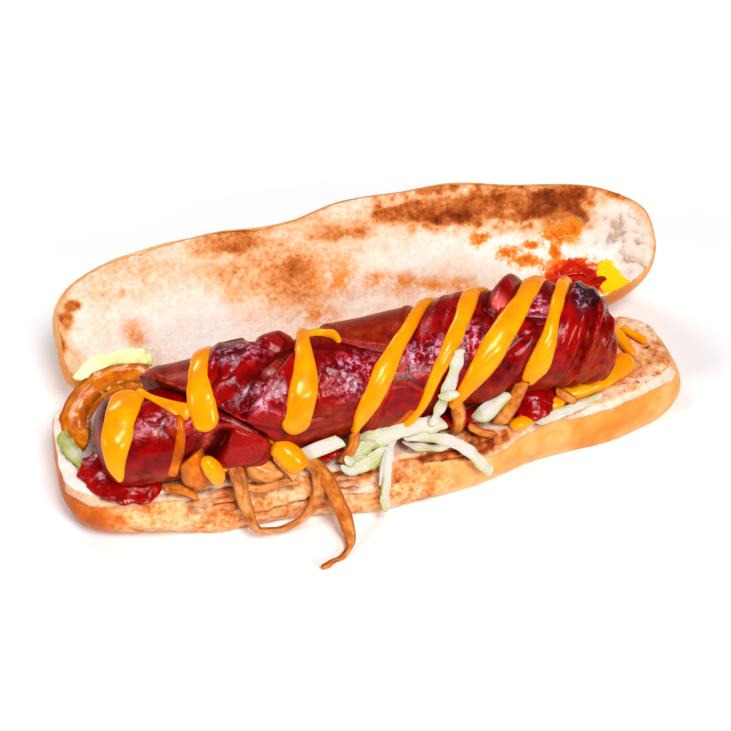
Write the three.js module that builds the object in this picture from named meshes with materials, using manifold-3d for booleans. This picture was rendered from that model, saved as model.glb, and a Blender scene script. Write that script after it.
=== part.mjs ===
// A loaded hot dog in an opened long roll: a scored sausage with mustard stripes, its broken-off end,
// fried onion strips and lettuce shreds. The roll is slit along the front and folded open at the back.
// Millimetres, +Z up, X along the roll, -Y towards the open side. The origin lies on the table under the middle.
import * as THREE from "three";
import Module from "manifold-3d";

const wasm = await Module();
wasm.setup();

const ALONG = new THREE.Vector3(1, 0, 0);
const ACROSS = new THREE.Vector3(0, 1, 0);
const UP = new THREE.Vector3(0, 0, 1);

// Driving dimensions of the roll
const FACE_Z = 19; // height of the lower half's cut face
const HINGE_Y = 10.5; // the fold between the halves, behind the sausage
const LIFT_ANGLE = THREE.MathUtils.degToRad(33); // how far the upper half leans up from flat
const LOWER = {
  side: -1,
  lift: 0,
  middle: -5,
  length: 189,
  width: 48.5,
  leftCorner: 4.2,
  rightCorner: 3.4,
  foldLeft: 6,
  foldRight: 4,
  taper: 0.17,
  taperFrom: 5,
  taperTo: 85,
  thickness: 25,
  square: 0.3,
  bulge: 5.8,
  flatter: 0.5,
  shift: 4,
  bulgeDepth: 26,
  kick: 2.6,
};
const UPPER = {
  side: 1,
  lift: LIFT_ANGLE,
  middle: 3.2,
  length: 193,
  width: 48,
  leftCorner: 2.6,
  rightCorner: 2.7,
  foldLeft: 7,
  foldRight: 3,
  taper: 0.08,
  taperFrom: 15,
  taperTo: -30,
  thickness: 31,
  square: 0.5,
  bulge: 3,
  flatter: 0,
  shift: 0,
  bulgeDepth: 22,
  kick: 0,
};
const OUTLINE_POINTS = 60;
const FACE_RINGS = [0.06, 0.45, 0.85];
const CRUST_DEGREES = [0, 9, 20, 34, 48, 62, 76];
const KICK_FROM = -56; // where the front of the lower half begins to curve up from the table
const KICK_TO = -80;

// Driving dimensions of the sausage, which lies in a slight bow, and of its broken-off end
const SAUSAGE = {
  radius: 16.3,
  slimmer: 0.08,
  from: -77,
  to: 69.5,
  line: new THREE.CatmullRomCurve3([
    new THREE.Vector3(-90, -19.5, 31),
    new THREE.Vector3(-60, -21.5, 32.5),
    new THREE.Vector3(-30, -21.3, 34.6),
    new THREE.Vector3(-5, -18.6, 34.2),
    new THREE.Vector3(38, -13.9, 34.5),
    new THREE.Vector3(80, -16.5, 33.5),
  ]),
};
const END = {
  radius: 13.4,
  slimmer: 0,
  from: -88.5,
  to: -37,
  line: new THREE.CatmullRomCurve3([
    new THREE.Vector3(-95, -25, 30.5),
    new THREE.Vector3(-65, -26, 30.5),
    new THREE.Vector3(-30, -28.5, 29),
  ]),
};

// The slanting break between the sausage and its end piece
const BREAK_NORMAL = new THREE.Vector3(0.6, 0.65, 0.47).normalize();
const BREAK_POINT = new THREE.Vector3(-58, -20, 33);
const GAP = 0.35; // clear air between touching pieces

// How finely the round bodies are divided, and how their ends close
const RING_STEP = 5;
const BLUNT = 9;
const CAP_STEPS = [0, 0.04, 0.14, 0.36, 0.67, 1];

// Scoring: a blade tilted towards the open side, in two slanting families
const BLADE_TILT = THREE.MathUtils.degToRad(25);
const BLADE_FLOOR = 0.62; // how close to the axis a cut goes, in radii
const BLADE_TOP = 1.35; // how far the blade stands out, in radii
const CUT_WIDTH = 2.2;
const SLASH_SLOPE = -1.35;
const SLASHES = [-52, -35.5, -4, 13, 29, 45, 59];
const CROSS_SLOPE = 2.1;
const CROSSES = [-24, 16, 30];
const CROSS_REACH = 11;

// A flap and a nub of sausage that stand up at the back, as corners of x and degrees from the top
const FLAP = {
  height: 2.8,
  corners: [[47, -56], [43.5, -56], [40.5, -54], [35.5, -32], [31.4, -10], [29.6, 7], [33.2, 17], [36.8, 7], [40, -5], [44, -32]],
};
const NUB = {
  height: 2.2,
  corners: [[-29, -37], [-30.2, -23], [-33, -18], [-35.8, -23], [-37, -37], [-35.8, -50], [-33, -56], [-30.2, -50]],
};

// Mustard stripes over the sausage, as [x, degrees from the top towards the open side, width]
const MUSTARD_HEIGHT = 2.2;
const SAUSAGE_STRIPES = [
  [[-53.6, -36, 6.6], [-56.2, -4, 7.6], [-57.4, 30, 8], [-57, 60, 6.4]],
  [[-24.8, -28, 4], [-26.5, 8, 6], [-29, 45, 8.2], [-34, 92, 8.4]],
  [[-25.2, -26, 2.6], [-20, -23, 2.8], [-15.6, 0, 1.8]],
  [[14.5, -42, 4.6], [6.2, 1, 4.8], [-1, 30, 6.6], [-7.1, 56, 7.4], [-15, 105, 2]],
  [[29.4, -40, 5.4], [20.8, 14, 5.3], [13, 52, 5], [3, 100, 2.6]],
  [[46.6, -46, 5.4], [36, 18, 7.4], [26.5, 58, 8.6], [16, 104, 3.6]],
  [[56.4, -32, 3.8], [48.4, 28, 4.4], [42.5, 68, 6.2], [38, 100, 4]],
  [[-42, 98, 3], [-37, 108, 5.5], [-33.5, 120, 7]],
];
const END_STRIPES = [
  [[-77.2, -28, 10.2], [-80.6, 14, 9.2], [-82.8, 48, 8.2], [-83.6, 96, 2.4]],
  [[-74.4, -26, 2.4], [-70.5, -4, 2.8], [-66, 12, 4.6], [-61, 26, 6.2]],
];

// Thick sauce that lies on the lower half, as [x, y, height over the cut face, width]
const FACE_DRIZZLES = [
  [[-90, -26, 1, 5.5], [-83, -32, 1.4, 7], [-72, -36, 0.8, 4.4]],
  [[37, -30.5, 1.6, 6], [42, -31, 2.2, 7.5], [49, -27.6, 1.6, 5]],
  [[51, -24.4, 1.4, 3.4], [57, -26.4, 2, 5], [66, -23.2, 2.6, 6.2], [75.5, -17.8, 2.8, 6.8]],
  [[75.8, 1, 1, 2.6], [77.2, -5, 1.2, 3.4], [78.6, -12, 1, 3]],
  [[80, -2, 0.8, 2.4], [84.6, -8.6, 0.8, 2.8]],
];

// Strips of fried onion and shreds of lettuce, each with the side it shows
const FRONT = new THREE.Vector3(0, -1, 0.15);
const SLANT = new THREE.Vector3(0, -0.7, 0.7);
const STRIPS = {
  onion_ring: {
    thick: 2,
    colour: 0xc07a30,
    showing: new THREE.Vector3(-0.45, -0.2, 1),
    line: ringArc(new THREE.Vector3(-80.9, -5, 24.4), 13.4, 4, 18, 226, 9),
    widths: [4, 6.5, 8, 8.8, 9.2, 9, 8.4, 6.5],
  },
  onion_loop: {
    thick: 1.6,
    colour: 0xc07a30,
    showing: FRONT,
    line: [[-51.2, -39.8, 29.5], [-50.2, -41.6, 24.4], [-49, -44.4, 15.5], [-46.9, -45.6, 7.4], [-45, -46, 4.9], [-38.5, -46, 4.4], [-32.4, -46, 7.4], [-28, -44.8, 14], [-27.2, -42, 20.2], [-30, -39.6, 24]],
    widths: [3.6, 4.6, 4, 2.8, 2.4, 2.4, 2.8, 3.8, 3.8, 3],
  },
  onion_tail: {
    thick: 1.6,
    colour: 0xb86c24,
    showing: FRONT,
    line: [[-30.2, -38.8, 26], [-26.6, -41.2, 22], [-23.5, -45, 16.4], [-21.3, -48, 10.4], [-20.1, -51, 6], [-20.2, -54, 2.4], [-22.7, -57.2, 1.6], [-26.6, -58.8, 1.6], [-30, -60.6, 1.7]],
    widths: [3.4, 4.2, 4.6, 4.8, 4.2, 2.8, 1.8, 1.8, 2.6],
  },
  onion_strand: {
    thick: 1.7,
    colour: 0xb86c24,
    showing: SLANT,
    line: [[-14.8, -36.6, 30.4], [-15.6, -38.2, 27.5], [-17.6, -39.4, 24], [-19.4, -39.6, 21.4]],
    widths: [2.8, 3.4, 3.6, 3],
  },
  onion_slice: {
    thick: 2,
    colour: 0xc07a30,
    showing: SLANT,
    line: [[16.4, -31.6, 32.5], [17, -33.6, 29], [16.9, -34.9, 25], [15.7, -35.4, 21.6]],
    widths: [3.2, 4.4, 4, 3.2],
  },
  onion_strip: {
    thick: 2.2,
    colour: 0xc07a30,
    showing: SLANT,
    line: [[37, -31.7, 34.4], [34.8, -32.6, 29.6], [32.2, -33.2, 25], [29.7, -34, 20.8]],
    widths: [3.8, 4.4, 5, 5],
  },
  onion_petal: {
    thick: 3,
    colour: 0xa8642a,
    showing: FRONT,
    line: [[-62.6, -40.6, 34.4], [-62, -41.8, 31], [-61.2, -41.6, 26], [-59.8, -39.6, 21]],
    widths: [6, 8.6, 9, 7],
    sauce: {
      thick: 4,
      showing: new THREE.Vector3(0.1, -0.8, 0.6),
      line: [[-59.6, -41.8, 34.4], [-57.6, -43.2, 32], [-56.6, -43.4, 28.4], [-56.8, -42.4, 25.2]],
      widths: [3.2, 5.2, 5, 3.4],
    },
  },
  onion_chunk: {
    thick: 2.6,
    colour: 0xd09c68,
    showing: SLANT,
    line: [[-47.4, -38.8, 28], [-43.6, -40.2, 25.4], [-40, -40.6, 23.6], [-36.6, -40, 22.2]],
    widths: [5, 7.6, 7.2, 4.5],
  },
  onion_flake: {
    thick: 1.8,
    colour: 0xc88c50,
    showing: SLANT,
    line: [[-39.4, -38.4, 28.4], [-35.4, -41.4, 25.4], [-33.6, -42.8, 21.6]],
    widths: [3, 4.2, 3],
  },
  onion_shaving: {
    thick: 1.3,
    colour: 0xb86c24,
    showing: SLANT,
    line: [[-49.5, -41.2, 20.8], [-45, -42.8, 20.3], [-38, -43, 20.3], [-33, -43, 20.4]],
    widths: [2, 2.6, 2.4, 2],
  },
  onion_scrap: {
    thick: 1.4,
    colour: 0xc07a30,
    showing: SLANT,
    line: [[-71, -37.4, 20.4], [-66.5, -39.2, 20.8], [-62, -42, 19.4]],
    widths: [2.6, 3.4, 2.4],
  },
  onion_curl: {
    thick: 1.4,
    colour: 0xc88c50,
    showing: SLANT,
    line: [[48.6, -28.6, 25], [51.4, -29.6, 23.6], [54.6, -30.6, 21]],
    widths: [2.6, 3.2, 2.6],
  },
  onion_shred: {
    thick: 1.3,
    colour: 0xb86c24,
    showing: SLANT,
    line: [[19.5, -35.6, 23.6], [23.4, -37, 21.4], [28, -37.4, 20.4]],
    widths: [2.2, 2.8, 2.2],
  },
  lettuce_sprig: {
    thick: 1.1,
    colour: 0xcfd8a4,
    showing: FRONT,
    line: [[18.2, -28.4, 48.4], [16.8, -29.8, 44.4], [14.8, -32.4, 40], [12.6, -34.2, 36], [10.4, -35.4, 31.5], [8.2, -36.8, 27.5]],
    widths: [2.6, 3.4, 4, 4, 3, 2],
    ripple: 0.3,
  },
  lettuce_curl: {
    thick: 1,
    colour: 0xe6ead8,
    showing: SLANT,
    line: [[10.2, -35.8, 37.4], [12.8, -36.4, 38.2], [15.8, -35.6, 38.6]],
    widths: [1.6, 2.8, 1.8],
  },
  lettuce_shred: {
    thick: 1.3,
    colour: 0xdfe6c4,
    showing: SLANT,
    line: [[-31, -39, 26.4], [-25.5, -39.2, 28.2], [-19, -38.6, 29.6]],
    widths: [4, 4.4, 4],
    ripple: 0.2,
  },
  lettuce_rib: {
    thick: 2,
    colour: 0xe6e6d6,
    showing: SLANT,
    line: [[22.6, -33.6, 23.4], [25.2, -33.8, 25.8], [28.8, -32.8, 28.6], [33.2, -31.6, 30.4]],
    widths: [4, 5.6, 4.6, 3],
    ripple: 0.2,
  },
  lettuce_sliver: {
    thick: 1.1,
    colour: 0xdfe0cc,
    showing: SLANT,
    line: [[64, -28.4, 20.4], [58.5, -30.4, 20.2], [53.1, -32, 20.2], [47.7, -33.6, 20.4], [43.5, -35.2, 20.6], [41, -36.4, 20.6]],
    widths: [1.4, 2, 2.6, 3, 2.6, 1.8],
  },
  lettuce_left: {
    thick: 2,
    colour: 0xb4bc3c,
    showing: UP,
    line: [[-97.4, -8.6, 21.2], [-96.8, -13.4, 21.6], [-95.2, -18, 21.6], [-92.8, -23.2, 20.8]],
    widths: [2.6, 4.4, 4.6, 2.2],
    ripple: 0.2,
  },
  lettuce_back: {
    thick: 1.8,
    colour: 0xe0e4b0,
    showing: new THREE.Vector3(0, -0.5, 0.8),
    line: [[-91, 11.4, 22.6], [-85, 14, 24.6], [-78, 15, 25.4], [-71, 14.6, 24.8], [-67, 14, 24]],
    widths: [3, 5, 5.6, 5, 3],
    ripple: 0.6,
  },
};

// A heap of crossing shreds is one solid: the pieces that show, joined by a low core
const HEAP_CORE = {
  thick: 2.4,
  showing: UP,
  line: [[-14, -39, 21.3], [-4, -38.6, 22.4], [6, -37.6, 22.6], [13, -37.4, 22.6]],
  widths: [4, 6, 6, 4],
};
const HEAP_SHREDS = [
  { thick: 1.3, ripple: 0.4, showing: SLANT, line: [[-15.5, -36.8, 25.4], [-9, -37.4, 27.2], [-2.5, -36.8, 27.6], [3.5, -36.2, 27.6], [9, -35.6, 27.2], [12.5, -35, 26.6]], widths: [4, 5.4, 4.8, 4.8, 5.2, 4] },
  { thick: 1.2, ripple: 0.3, showing: new THREE.Vector3(0.1, -0.8, 0.7), line: [[-0.8, -36.8, 25], [4.5, -37.6, 24.8], [10.1, -39.2, 23.8], [15, -40.6, 21.8], [19.4, -42.6, 18.4], [23, -43.8, 14.2], [24.8, -44.4, 11.2]], widths: [2.6, 3.2, 3.4, 3.4, 3.6, 3.6, 2.8] },
  { thick: 1.2, ripple: 0.3, showing: FRONT, line: [[-3.6, -37.6, 25.6], [-5.8, -41.4, 22.6], [-7.4, -45.2, 17.6], [-8, -46.8, 12], [-7.6, -47.6, 6.8]], widths: [3.2, 3.2, 2.8, 2.8, 3] },
  { thick: 1.3, ripple: 0.5, showing: SLANT, line: [[-20, -42, 20.8], [-15.5, -42.8, 21.4], [-10.5, -41.8, 23], [-6, -39.4, 25]], widths: [2.8, 4, 4.4, 3] },
  { thick: 1.3, ripple: 0.5, showing: SLANT, line: [[-17.8, -39.6, 22.6], [-14, -39.4, 25.4], [-9.6, -38.2, 27]], widths: [2.6, 4, 3.2] },
];
const HEAP_COLOUR = 0xdbe4bc;

// One closed solid from a stack of closed rings with equal counts of points, capped by fans
function skin(rings) {
  const count = rings[0].length;
  const positions = rings.flat().flatMap((p) => [p.x, p.y, p.z]);
  const corners = [];
  for (let r = 0; r + 1 < rings.length; r++)
    for (let i = 0; i < count; i++) {
      const a = r * count + i;
      const b = r * count + ((i + 1) % count);
      corners.push(a, b, a + count, b, b + count, a + count);
    }
  for (const [r, flip] of [[0, true], [rings.length - 1, false]]) {
    const centre = new THREE.Vector3();
    rings[r].forEach((p) => centre.addScaledVector(p, 1 / count));
    const middle = positions.length / 3;
    positions.push(centre.x, centre.y, centre.z);
    for (let i = 0; i < count; i++) {
      const a = r * count + i;
      const b = r * count + ((i + 1) % count);
      corners.push(...(flip ? [b, a, middle] : [a, b, middle]));
    }
  }
  const vertProperties = new Float32Array(positions);
  const make = (list) =>
    new wasm.Manifold(new wasm.Mesh({ numProp: 3, vertProperties, triVerts: new Uint32Array(list) }));
  const made = make(corners);
  return made.volume() > 0 ? made : make(corners.reverse());
}

// A solid with a flattened round section along stations of centre, side, normal, half width and half height
function sweep(stations, sides = 8) {
  return skin(
    stations.map((s) =>
      Array.from({ length: sides }, (_, i) => {
        const turn = (2 * Math.PI * (i + 0.5)) / sides;
        return s.centre
          .clone()
          .addScaledVector(s.side, s.halfWidth * Math.cos(turn))
          .addScaledVector(s.normal, s.halfHeight * Math.sin(turn));
      }),
    ),
  );
}

// From 0 at one place to 1 at the other, whichever of the two is the larger
function smoothstep(from, to, x) {
  return from < to ? THREE.MathUtils.smoothstep(x, from, to) : 1 - THREE.MathUtils.smoothstep(x, to, from);
}

const power = (base, exponent) => Math.sign(base) * Math.abs(base) ** exponent;

// Linear interpolation in a short list of values, t from 0 to 1
function between(values, t) {
  const at = t * (values.length - 1);
  const low = Math.min(Math.floor(at), values.length - 2);
  return values[low] + (values[low + 1] - values[low]) * (at - low);
}

// How square a corner of the cut face is, at the rim or at the fold
function cornerOf(half, right, fold) {
  if (fold) return right ? half.foldRight : half.foldLeft;
  return right ? half.rightCorner : half.leftCorner;
}

// The cut face's outline: a squarish oval from the fold at v = 0 to the rim, a little uneven, evenly divided
function faceOutline(half) {
  const dense = [];
  for (let i = 0; i < 1440; i++) {
    const turn = (2 * Math.PI * i) / 1440;
    const corner = cornerOf(half, Math.cos(turn) > 0, Math.sin(turn) < 0);
    const along = power(Math.cos(turn), 2 / corner);
    const across = power(Math.sin(turn), 2 / corner);
    const x = half.middle + (half.length / 2) * along;
    const narrowing = 1 - half.taper * smoothstep(half.taperFrom, half.taperTo, x);
    const uneven = 0.9 * Math.sin(x / 15 + 1 - half.side) + 0.6 * Math.sin(x / 6.5 + 2 * half.side);
    const v = (half.width / 2) * (1 + across) * narrowing + (across > 0 ? uneven * across : 0);
    dense.push(new THREE.Vector3(x, v, 0));
  }
  const curve = new THREE.CatmullRomCurve3(dense, true, "catmullrom", 0.5);
  curve.arcLengthDivisions = 1440;
  return curve.getSpacedPoints(OUTLINE_POINTS).slice(0, OUTLINE_POINTS);
}

// From a half's own x, v across its cut face and w into its crust to the part's frame
function place(half, x, v, w) {
  const across = half.side * v;
  return new THREE.Vector3(
    x,
    HINGE_Y + across * Math.cos(half.lift) + w * Math.sin(half.lift),
    FACE_Z + v * Math.sin(half.lift) - w * Math.cos(half.lift),
  );
}

// One half of the roll, grown on every side by an allowance
function halfRoll(half, allowance = 0) {
  const outline = faceOutline(half);
  const reach = half.length / 2 - half.width / 2;
  const spine = (p) =>
    new THREE.Vector3(
      THREE.MathUtils.clamp(p.x, half.middle - reach, half.middle + reach),
      half.width / 2,
      0,
    );
  const rings = [];
  for (const share of FACE_RINGS)
    rings.push(
      outline.map((p) => {
        const q = spine(p).lerp(p, share);
        return place(half, q.x, q.y, -allowance);
      }),
    );
  for (const degrees of CRUST_DEGREES) {
    const turn = THREE.MathUtils.degToRad(degrees);
    const depth = half.thickness * Math.sin(turn);
    const swell = Math.sin(Math.PI * Math.min(depth / half.bulgeDepth, 1));
    rings.push(
      outline.map((p) => {
        const centre = spine(p);
        const outward = p.clone().sub(centre);
        const radius = outward.length();
        outward.normalize();
        const flatter = half.flatter * smoothstep(-15, 45, p.x);
        const out = radius * Math.cos(turn) ** half.square + half.bulge * (1 - flatter) * swell + allowance;
        const q = centre.addScaledVector(outward, out);
        const w = degrees === 0 ? -allowance : depth + allowance;
        const low = smoothstep(6, 17, depth) * smoothstep(10, 34, p.y);
        const kick = half.kick * smoothstep(KICK_FROM, KICK_TO, p.x) * low;
        return place(half, q.x + half.shift * swell, q.y, w - kick);
      }),
    );
  }
  return skin(rings);
}

function roll(allowance = 0) {
  return halfRoll(LOWER, allowance).add(halfRoll(UPPER, allowance));
}

// The radius and the middle of a round body at x
function sectionAt(body, x) {
  const slim = body.slimmer * (smoothstep(-45, -72, x) + smoothstep(42, 68, x));
  let from = 0;
  let to = 1;
  for (let i = 0; i < 30; i++) {
    const half = (from + to) / 2;
    if (body.line.getPoint(half).x < x) from = half;
    else to = half;
  }
  return { radius: body.radius * (1 - slim), centre: body.line.getPoint((from + to) / 2) };
}

// A round body along a curve, blunt at both ends
function round(body, allowance = 0) {
  const stations = [];
  const { from, to } = body;
  const straight = to - from - 2 * BLUNT;
  const steps = Math.round(straight / RING_STEP);
  const xs = CAP_STEPS.map((share) => from + BLUNT * share);
  for (let i = 1; i < steps; i++) xs.push(from + BLUNT + (straight * i) / steps);
  xs.push(...CAP_STEPS.map((share) => to - BLUNT * share).reverse());
  for (const x of xs) {
    const inset = Math.min(x - from, to - x, BLUNT) / BLUNT;
    const share = Math.max(Math.sqrt(1 - (1 - inset) ** 2.6), 0.12);
    const { centre, radius } = sectionAt(body, x);
    centre.x += allowance * (x < (from + to) / 2 ? -1 : 1);
    const size = radius * share + allowance;
    stations.push({ centre, side: ACROSS, normal: UP, halfWidth: size, halfHeight: size });
  }
  return sweep(stations, 20);
}

// A point on a round body at x and an angle from the top towards the open side
function surfacePoint(body, x, degrees, allowance = 0) {
  const turn = THREE.MathUtils.degToRad(degrees);
  const normal = new THREE.Vector3(0, -Math.sin(turn), Math.cos(turn));
  const { centre, radius } = sectionAt(body, x);
  return { point: centre.addScaledVector(normal, radius + allowance), normal };
}

// A mustard stripe that lies on a round body
function stripe(body, marks, allowance = 0) {
  const steps = 10;
  const spots = Array.from({ length: steps + 1 }, (_, i) => {
    const t = i / steps;
    return {
      ...surfacePoint(body, between(marks.map((m) => m[0]), t), between(marks.map((m) => m[1]), t), allowance),
      width: between(marks.map((m) => m[2]), t) + 2 * allowance,
      blunt: Math.sqrt(Math.max(1 - (2 * t - 1) ** 6, 0.06)),
    };
  });
  const stations = spots.map((s, i) => {
    const ahead = spots[Math.min(i + 1, steps)].point.clone();
    const along = ahead.sub(spots[Math.max(i - 1, 0)].point).normalize();
    return {
      centre: s.point,
      side: along.cross(s.normal).normalize(),
      normal: s.normal,
      halfWidth: (s.width / 2) * s.blunt,
      halfHeight: MUSTARD_HEIGHT * s.blunt,
    };
  });
  return sweep(stations, 8);
}

// A plate that stands out of a round body within corners of x and degrees, with a sloping edge
function raised(body, { corners, height }) {
  const middle = [0, 1].map((k) => corners.reduce((sum, c) => sum + c[k] / corners.length, 0));
  const ring = (share, allowance) =>
    corners.map(([x, degrees]) => {
      const at = middle[0] + (x - middle[0]) * share;
      return surfacePoint(body, at, middle[1] + (degrees - middle[1]) * share, allowance).point;
    });
  return skin([ring(0.4, -2), ring(1.05, -2), ring(0.88, height), ring(0.4, height)]);
}

// A thick line of sauce that lies on the lower half's cut face
function drizzle(marks) {
  const steps = 8;
  const curve = new THREE.CatmullRomCurve3(marks.map(([x, y, h]) => new THREE.Vector3(x, y, FACE_Z + 0.2 * h)));
  const stations = Array.from({ length: steps + 1 }, (_, i) => {
    const t = i / steps;
    const blunt = Math.sqrt(Math.max(1 - (2 * t - 1) ** 6, 0.08));
    return {
      centre: curve.getPoint(t),
      side: curve.getTangent(t).cross(UP).normalize(),
      normal: UP,
      halfWidth: (between(marks.map((m) => m[3]), t) / 2) * blunt,
      halfHeight: (between(marks.map((m) => m[2]), t) + 0.6) * blunt,
    };
  });
  return sweep(stations, 8);
}

// The V of one score: a wedge across the sausage, tilted about its axis towards the open side
function blade(x, slope, reach) {
  const { centre, radius } = sectionAt(SAUSAGE, x);
  const across = new THREE.Vector3(0, -Math.cos(BLADE_TILT), -Math.sin(BLADE_TILT));
  const out = new THREE.Vector3(0, -Math.sin(BLADE_TILT), Math.cos(BLADE_TILT));
  const along = across.clone().addScaledVector(ALONG, slope);
  const wide = ALONG.clone().multiplyScalar(CUT_WIDTH * Math.sqrt(1 + slope * slope));
  return skin(
    [-reach, reach].map((r) => {
      const foot = centre.clone().addScaledVector(along, r);
      const top = foot.clone().addScaledVector(out, radius * BLADE_TOP);
      return [
        top.clone().addScaledVector(wide, -0.5),
        foot.addScaledVector(out, radius * BLADE_FLOOR),
        top.clone().addScaledVector(wide, 0.5),
      ];
    }),
  );
}

// The part of a circle that an onion ring shows, as a list of points, higher towards +X
function ringArc(centre, radius, rise, fromDegrees, toDegrees, count) {
  return Array.from({ length: count }, (_, i) => {
    const turn = THREE.MathUtils.degToRad(fromDegrees + ((toDegrees - fromDegrees) * i) / (count - 1));
    return [
      centre.x + radius * Math.cos(turn),
      centre.y + radius * Math.sin(turn),
      centre.z + rise * Math.cos(turn),
    ];
  });
}

// A strip of onion or lettuce along its line, grown by an allowance
function strip(spec, allowance = 0) {
  const curve = new THREE.CatmullRomCurve3(spec.line.map((p) => new THREE.Vector3(...p)));
  const steps = Math.max(5, Math.round(curve.getLength() / 4.6));
  const stations = Array.from({ length: steps + 1 }, (_, i) => {
    const t = i / steps;
    const along = curve.getTangent(t);
    const side = along.clone().cross(spec.showing).normalize();
    const normal = side.clone().cross(along).normalize();
    const wave = (spec.ripple ?? 0) * Math.sin(9 * t + 4 * spec.thick);
    return {
      centre: curve.getPoint(t).addScaledVector(normal, wave),
      side,
      normal,
      halfWidth: between(spec.widths, t) / 2 + allowance,
      halfHeight: spec.thick / 2 + allowance,
    };
  });
  return sweep(stations, 8);
}

function largest(solid) {
  return solid.decompose().sort((a, b) => b.volume() - a.volume())[0];
}

function meshOf(name, solid, colour, roughness) {
  const made = solid.getMesh();
  const geometry = new THREE.BufferGeometry();
  geometry.setAttribute("position", new THREE.BufferAttribute(new Float32Array(made.vertProperties), 3));
  geometry.setIndex(new THREE.BufferAttribute(new Uint32Array(made.triVerts), 1));
  geometry.computeVertexNormals();
  const mesh = new THREE.Mesh(geometry, new THREE.MeshStandardMaterial({ color: colour, roughness, metalness: 0 }));
  mesh.name = name;
  return mesh;
}

// The sausage and its end piece, split by the slanting break
const breakAt = BREAK_NORMAL.dot(BREAK_POINT);
const kept = (solid, allowance) =>
  solid.trimByPlane(BREAK_NORMAL.toArray(), breakAt + GAP / 2 - allowance);
const brokenOff = (solid, allowance) =>
  solid.trimByPlane(BREAK_NORMAL.clone().negate().toArray(), -breakAt + GAP / 2 - allowance);

function sausage(allowance = 0) {
  return kept(round(SAUSAGE, allowance), allowance);
}

function sausageEnd(allowance = 0) {
  return brokenOff(round(END, allowance), allowance);
}

let scored = sausage();
for (const x of SLASHES) scored = scored.subtract(blade(x, SLASH_SLOPE, 2 * SAUSAGE.radius));
for (const x of CROSSES) scored = scored.subtract(blade(x, CROSS_SLOPE, CROSS_REACH));
const withStripes = (solid, body, stripes) =>
  stripes.reduce((whole, marks) => whole.add(stripe(body, marks)), solid);
const flapped = largest(scored).add(raised(SAUSAGE, FLAP)).add(raised(SAUSAGE, NUB));
const dressedSausage = kept(withStripes(flapped, SAUSAGE, SAUSAGE_STRIPES), 0);
const dressedEnd = brokenOff(withStripes(sausageEnd(), END, END_STRIPES), 0);

// The roll, flat where it meets the table, with the bed that the sausage presses into it
const beds = [sausage(GAP), sausageEnd(GAP)];
const bedded = (solid) => beds.reduce((left, bed) => left.subtract(bed), solid);
const sauces = FACE_DRIZZLES.map((marks) => bedded(drizzle(marks)));
const bun = sauces.reduce((whole, sauce) => whole.add(sauce), bedded(roll().trimByPlane(UP.toArray(), 0)));

// What is loose is cut clear of everything that was placed before it
const group = new THREE.Group();
group.add(meshOf("bun", largest(bun), 0xe2a35c, 0.7));
group.add(meshOf("sausage", dressedSausage, 0x8c1f14, 0.25));
group.add(meshOf("sausage_end", dressedEnd, 0x941a10, 0.25));
const placed = [roll(GAP), ...beds, ...sauces];
for (const marks of SAUSAGE_STRIPES) placed.push(stripe(SAUSAGE, marks, GAP));
for (const marks of END_STRIPES) placed.push(stripe(END, marks, GAP));
const clearOf = (solid) => largest(placed.reduce((left, other) => left.subtract(other), solid));
const sauced = (spec, allowance) =>
  spec.sauce ? strip(spec, allowance).add(strip(spec.sauce, allowance)) : strip(spec, allowance);
for (const [name, spec] of Object.entries(STRIPS)) {
  group.add(meshOf(name, clearOf(sauced(spec, 0)), spec.colour, 0.4));
  placed.push(sauced(spec, GAP));
}
const heap = HEAP_SHREDS.reduce((whole, spec) => whole.add(strip(spec)), strip(HEAP_CORE));
group.add(meshOf("lettuce_heap", clearOf(heap), HEAP_COLOUR, 0.5));

export default group;
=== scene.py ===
import math

import bmesh
import bpy
import numpy as np
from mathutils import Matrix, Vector


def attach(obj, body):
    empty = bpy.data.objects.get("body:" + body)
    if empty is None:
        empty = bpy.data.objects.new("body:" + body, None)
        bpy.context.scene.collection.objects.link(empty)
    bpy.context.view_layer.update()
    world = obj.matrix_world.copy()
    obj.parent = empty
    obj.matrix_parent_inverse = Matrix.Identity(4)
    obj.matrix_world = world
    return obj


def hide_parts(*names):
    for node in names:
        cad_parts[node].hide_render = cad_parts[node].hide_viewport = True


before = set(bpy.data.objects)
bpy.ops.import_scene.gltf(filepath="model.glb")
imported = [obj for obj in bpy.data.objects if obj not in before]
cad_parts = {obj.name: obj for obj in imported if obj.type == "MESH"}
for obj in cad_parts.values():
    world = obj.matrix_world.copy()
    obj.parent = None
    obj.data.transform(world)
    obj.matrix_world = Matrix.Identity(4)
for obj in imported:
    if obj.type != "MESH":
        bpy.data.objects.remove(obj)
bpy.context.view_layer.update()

MM = 0.001
# How fine the meshes of the soft bodies are, in millimetres
ROLL_VOXEL, SAUSAGE_VOXEL, POOL_VOXEL = 0.85, 0.5, 0.5

# The shared shape: the same named sizes as the solids, in millimetres

FACE_Z = 19.0
HINGE_Y = 10.5
LIFT = math.radians(33)
# Each half of the roll: its cut face's length and width, how square its corners are, how it narrows,
# then how thick it is under that face and how far its crust bulges out
LOWER = dict(side=-1, lift=0.0, middle=-5.0, length=189.0, width=48.5, left=4.2, right=3.4, fold_left=6.0,
             fold_right=4.0, taper=0.17, taper_from=5.0, taper_to=85.0, thick=25.0, square=0.3, bulge=5.8,
             flatter=0.5, shift=4.0, depth=26.0)
UPPER = dict(side=1, lift=LIFT, middle=3.2, length=193.0, width=48.0, left=2.6, right=2.7, fold_left=7.0,
             fold_right=3.0, taper=0.08, taper_from=15.0, taper_to=-30.0, thick=31.0, square=0.5, bulge=3.0,
             flatter=0.0, shift=0.0, depth=22.0)

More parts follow.
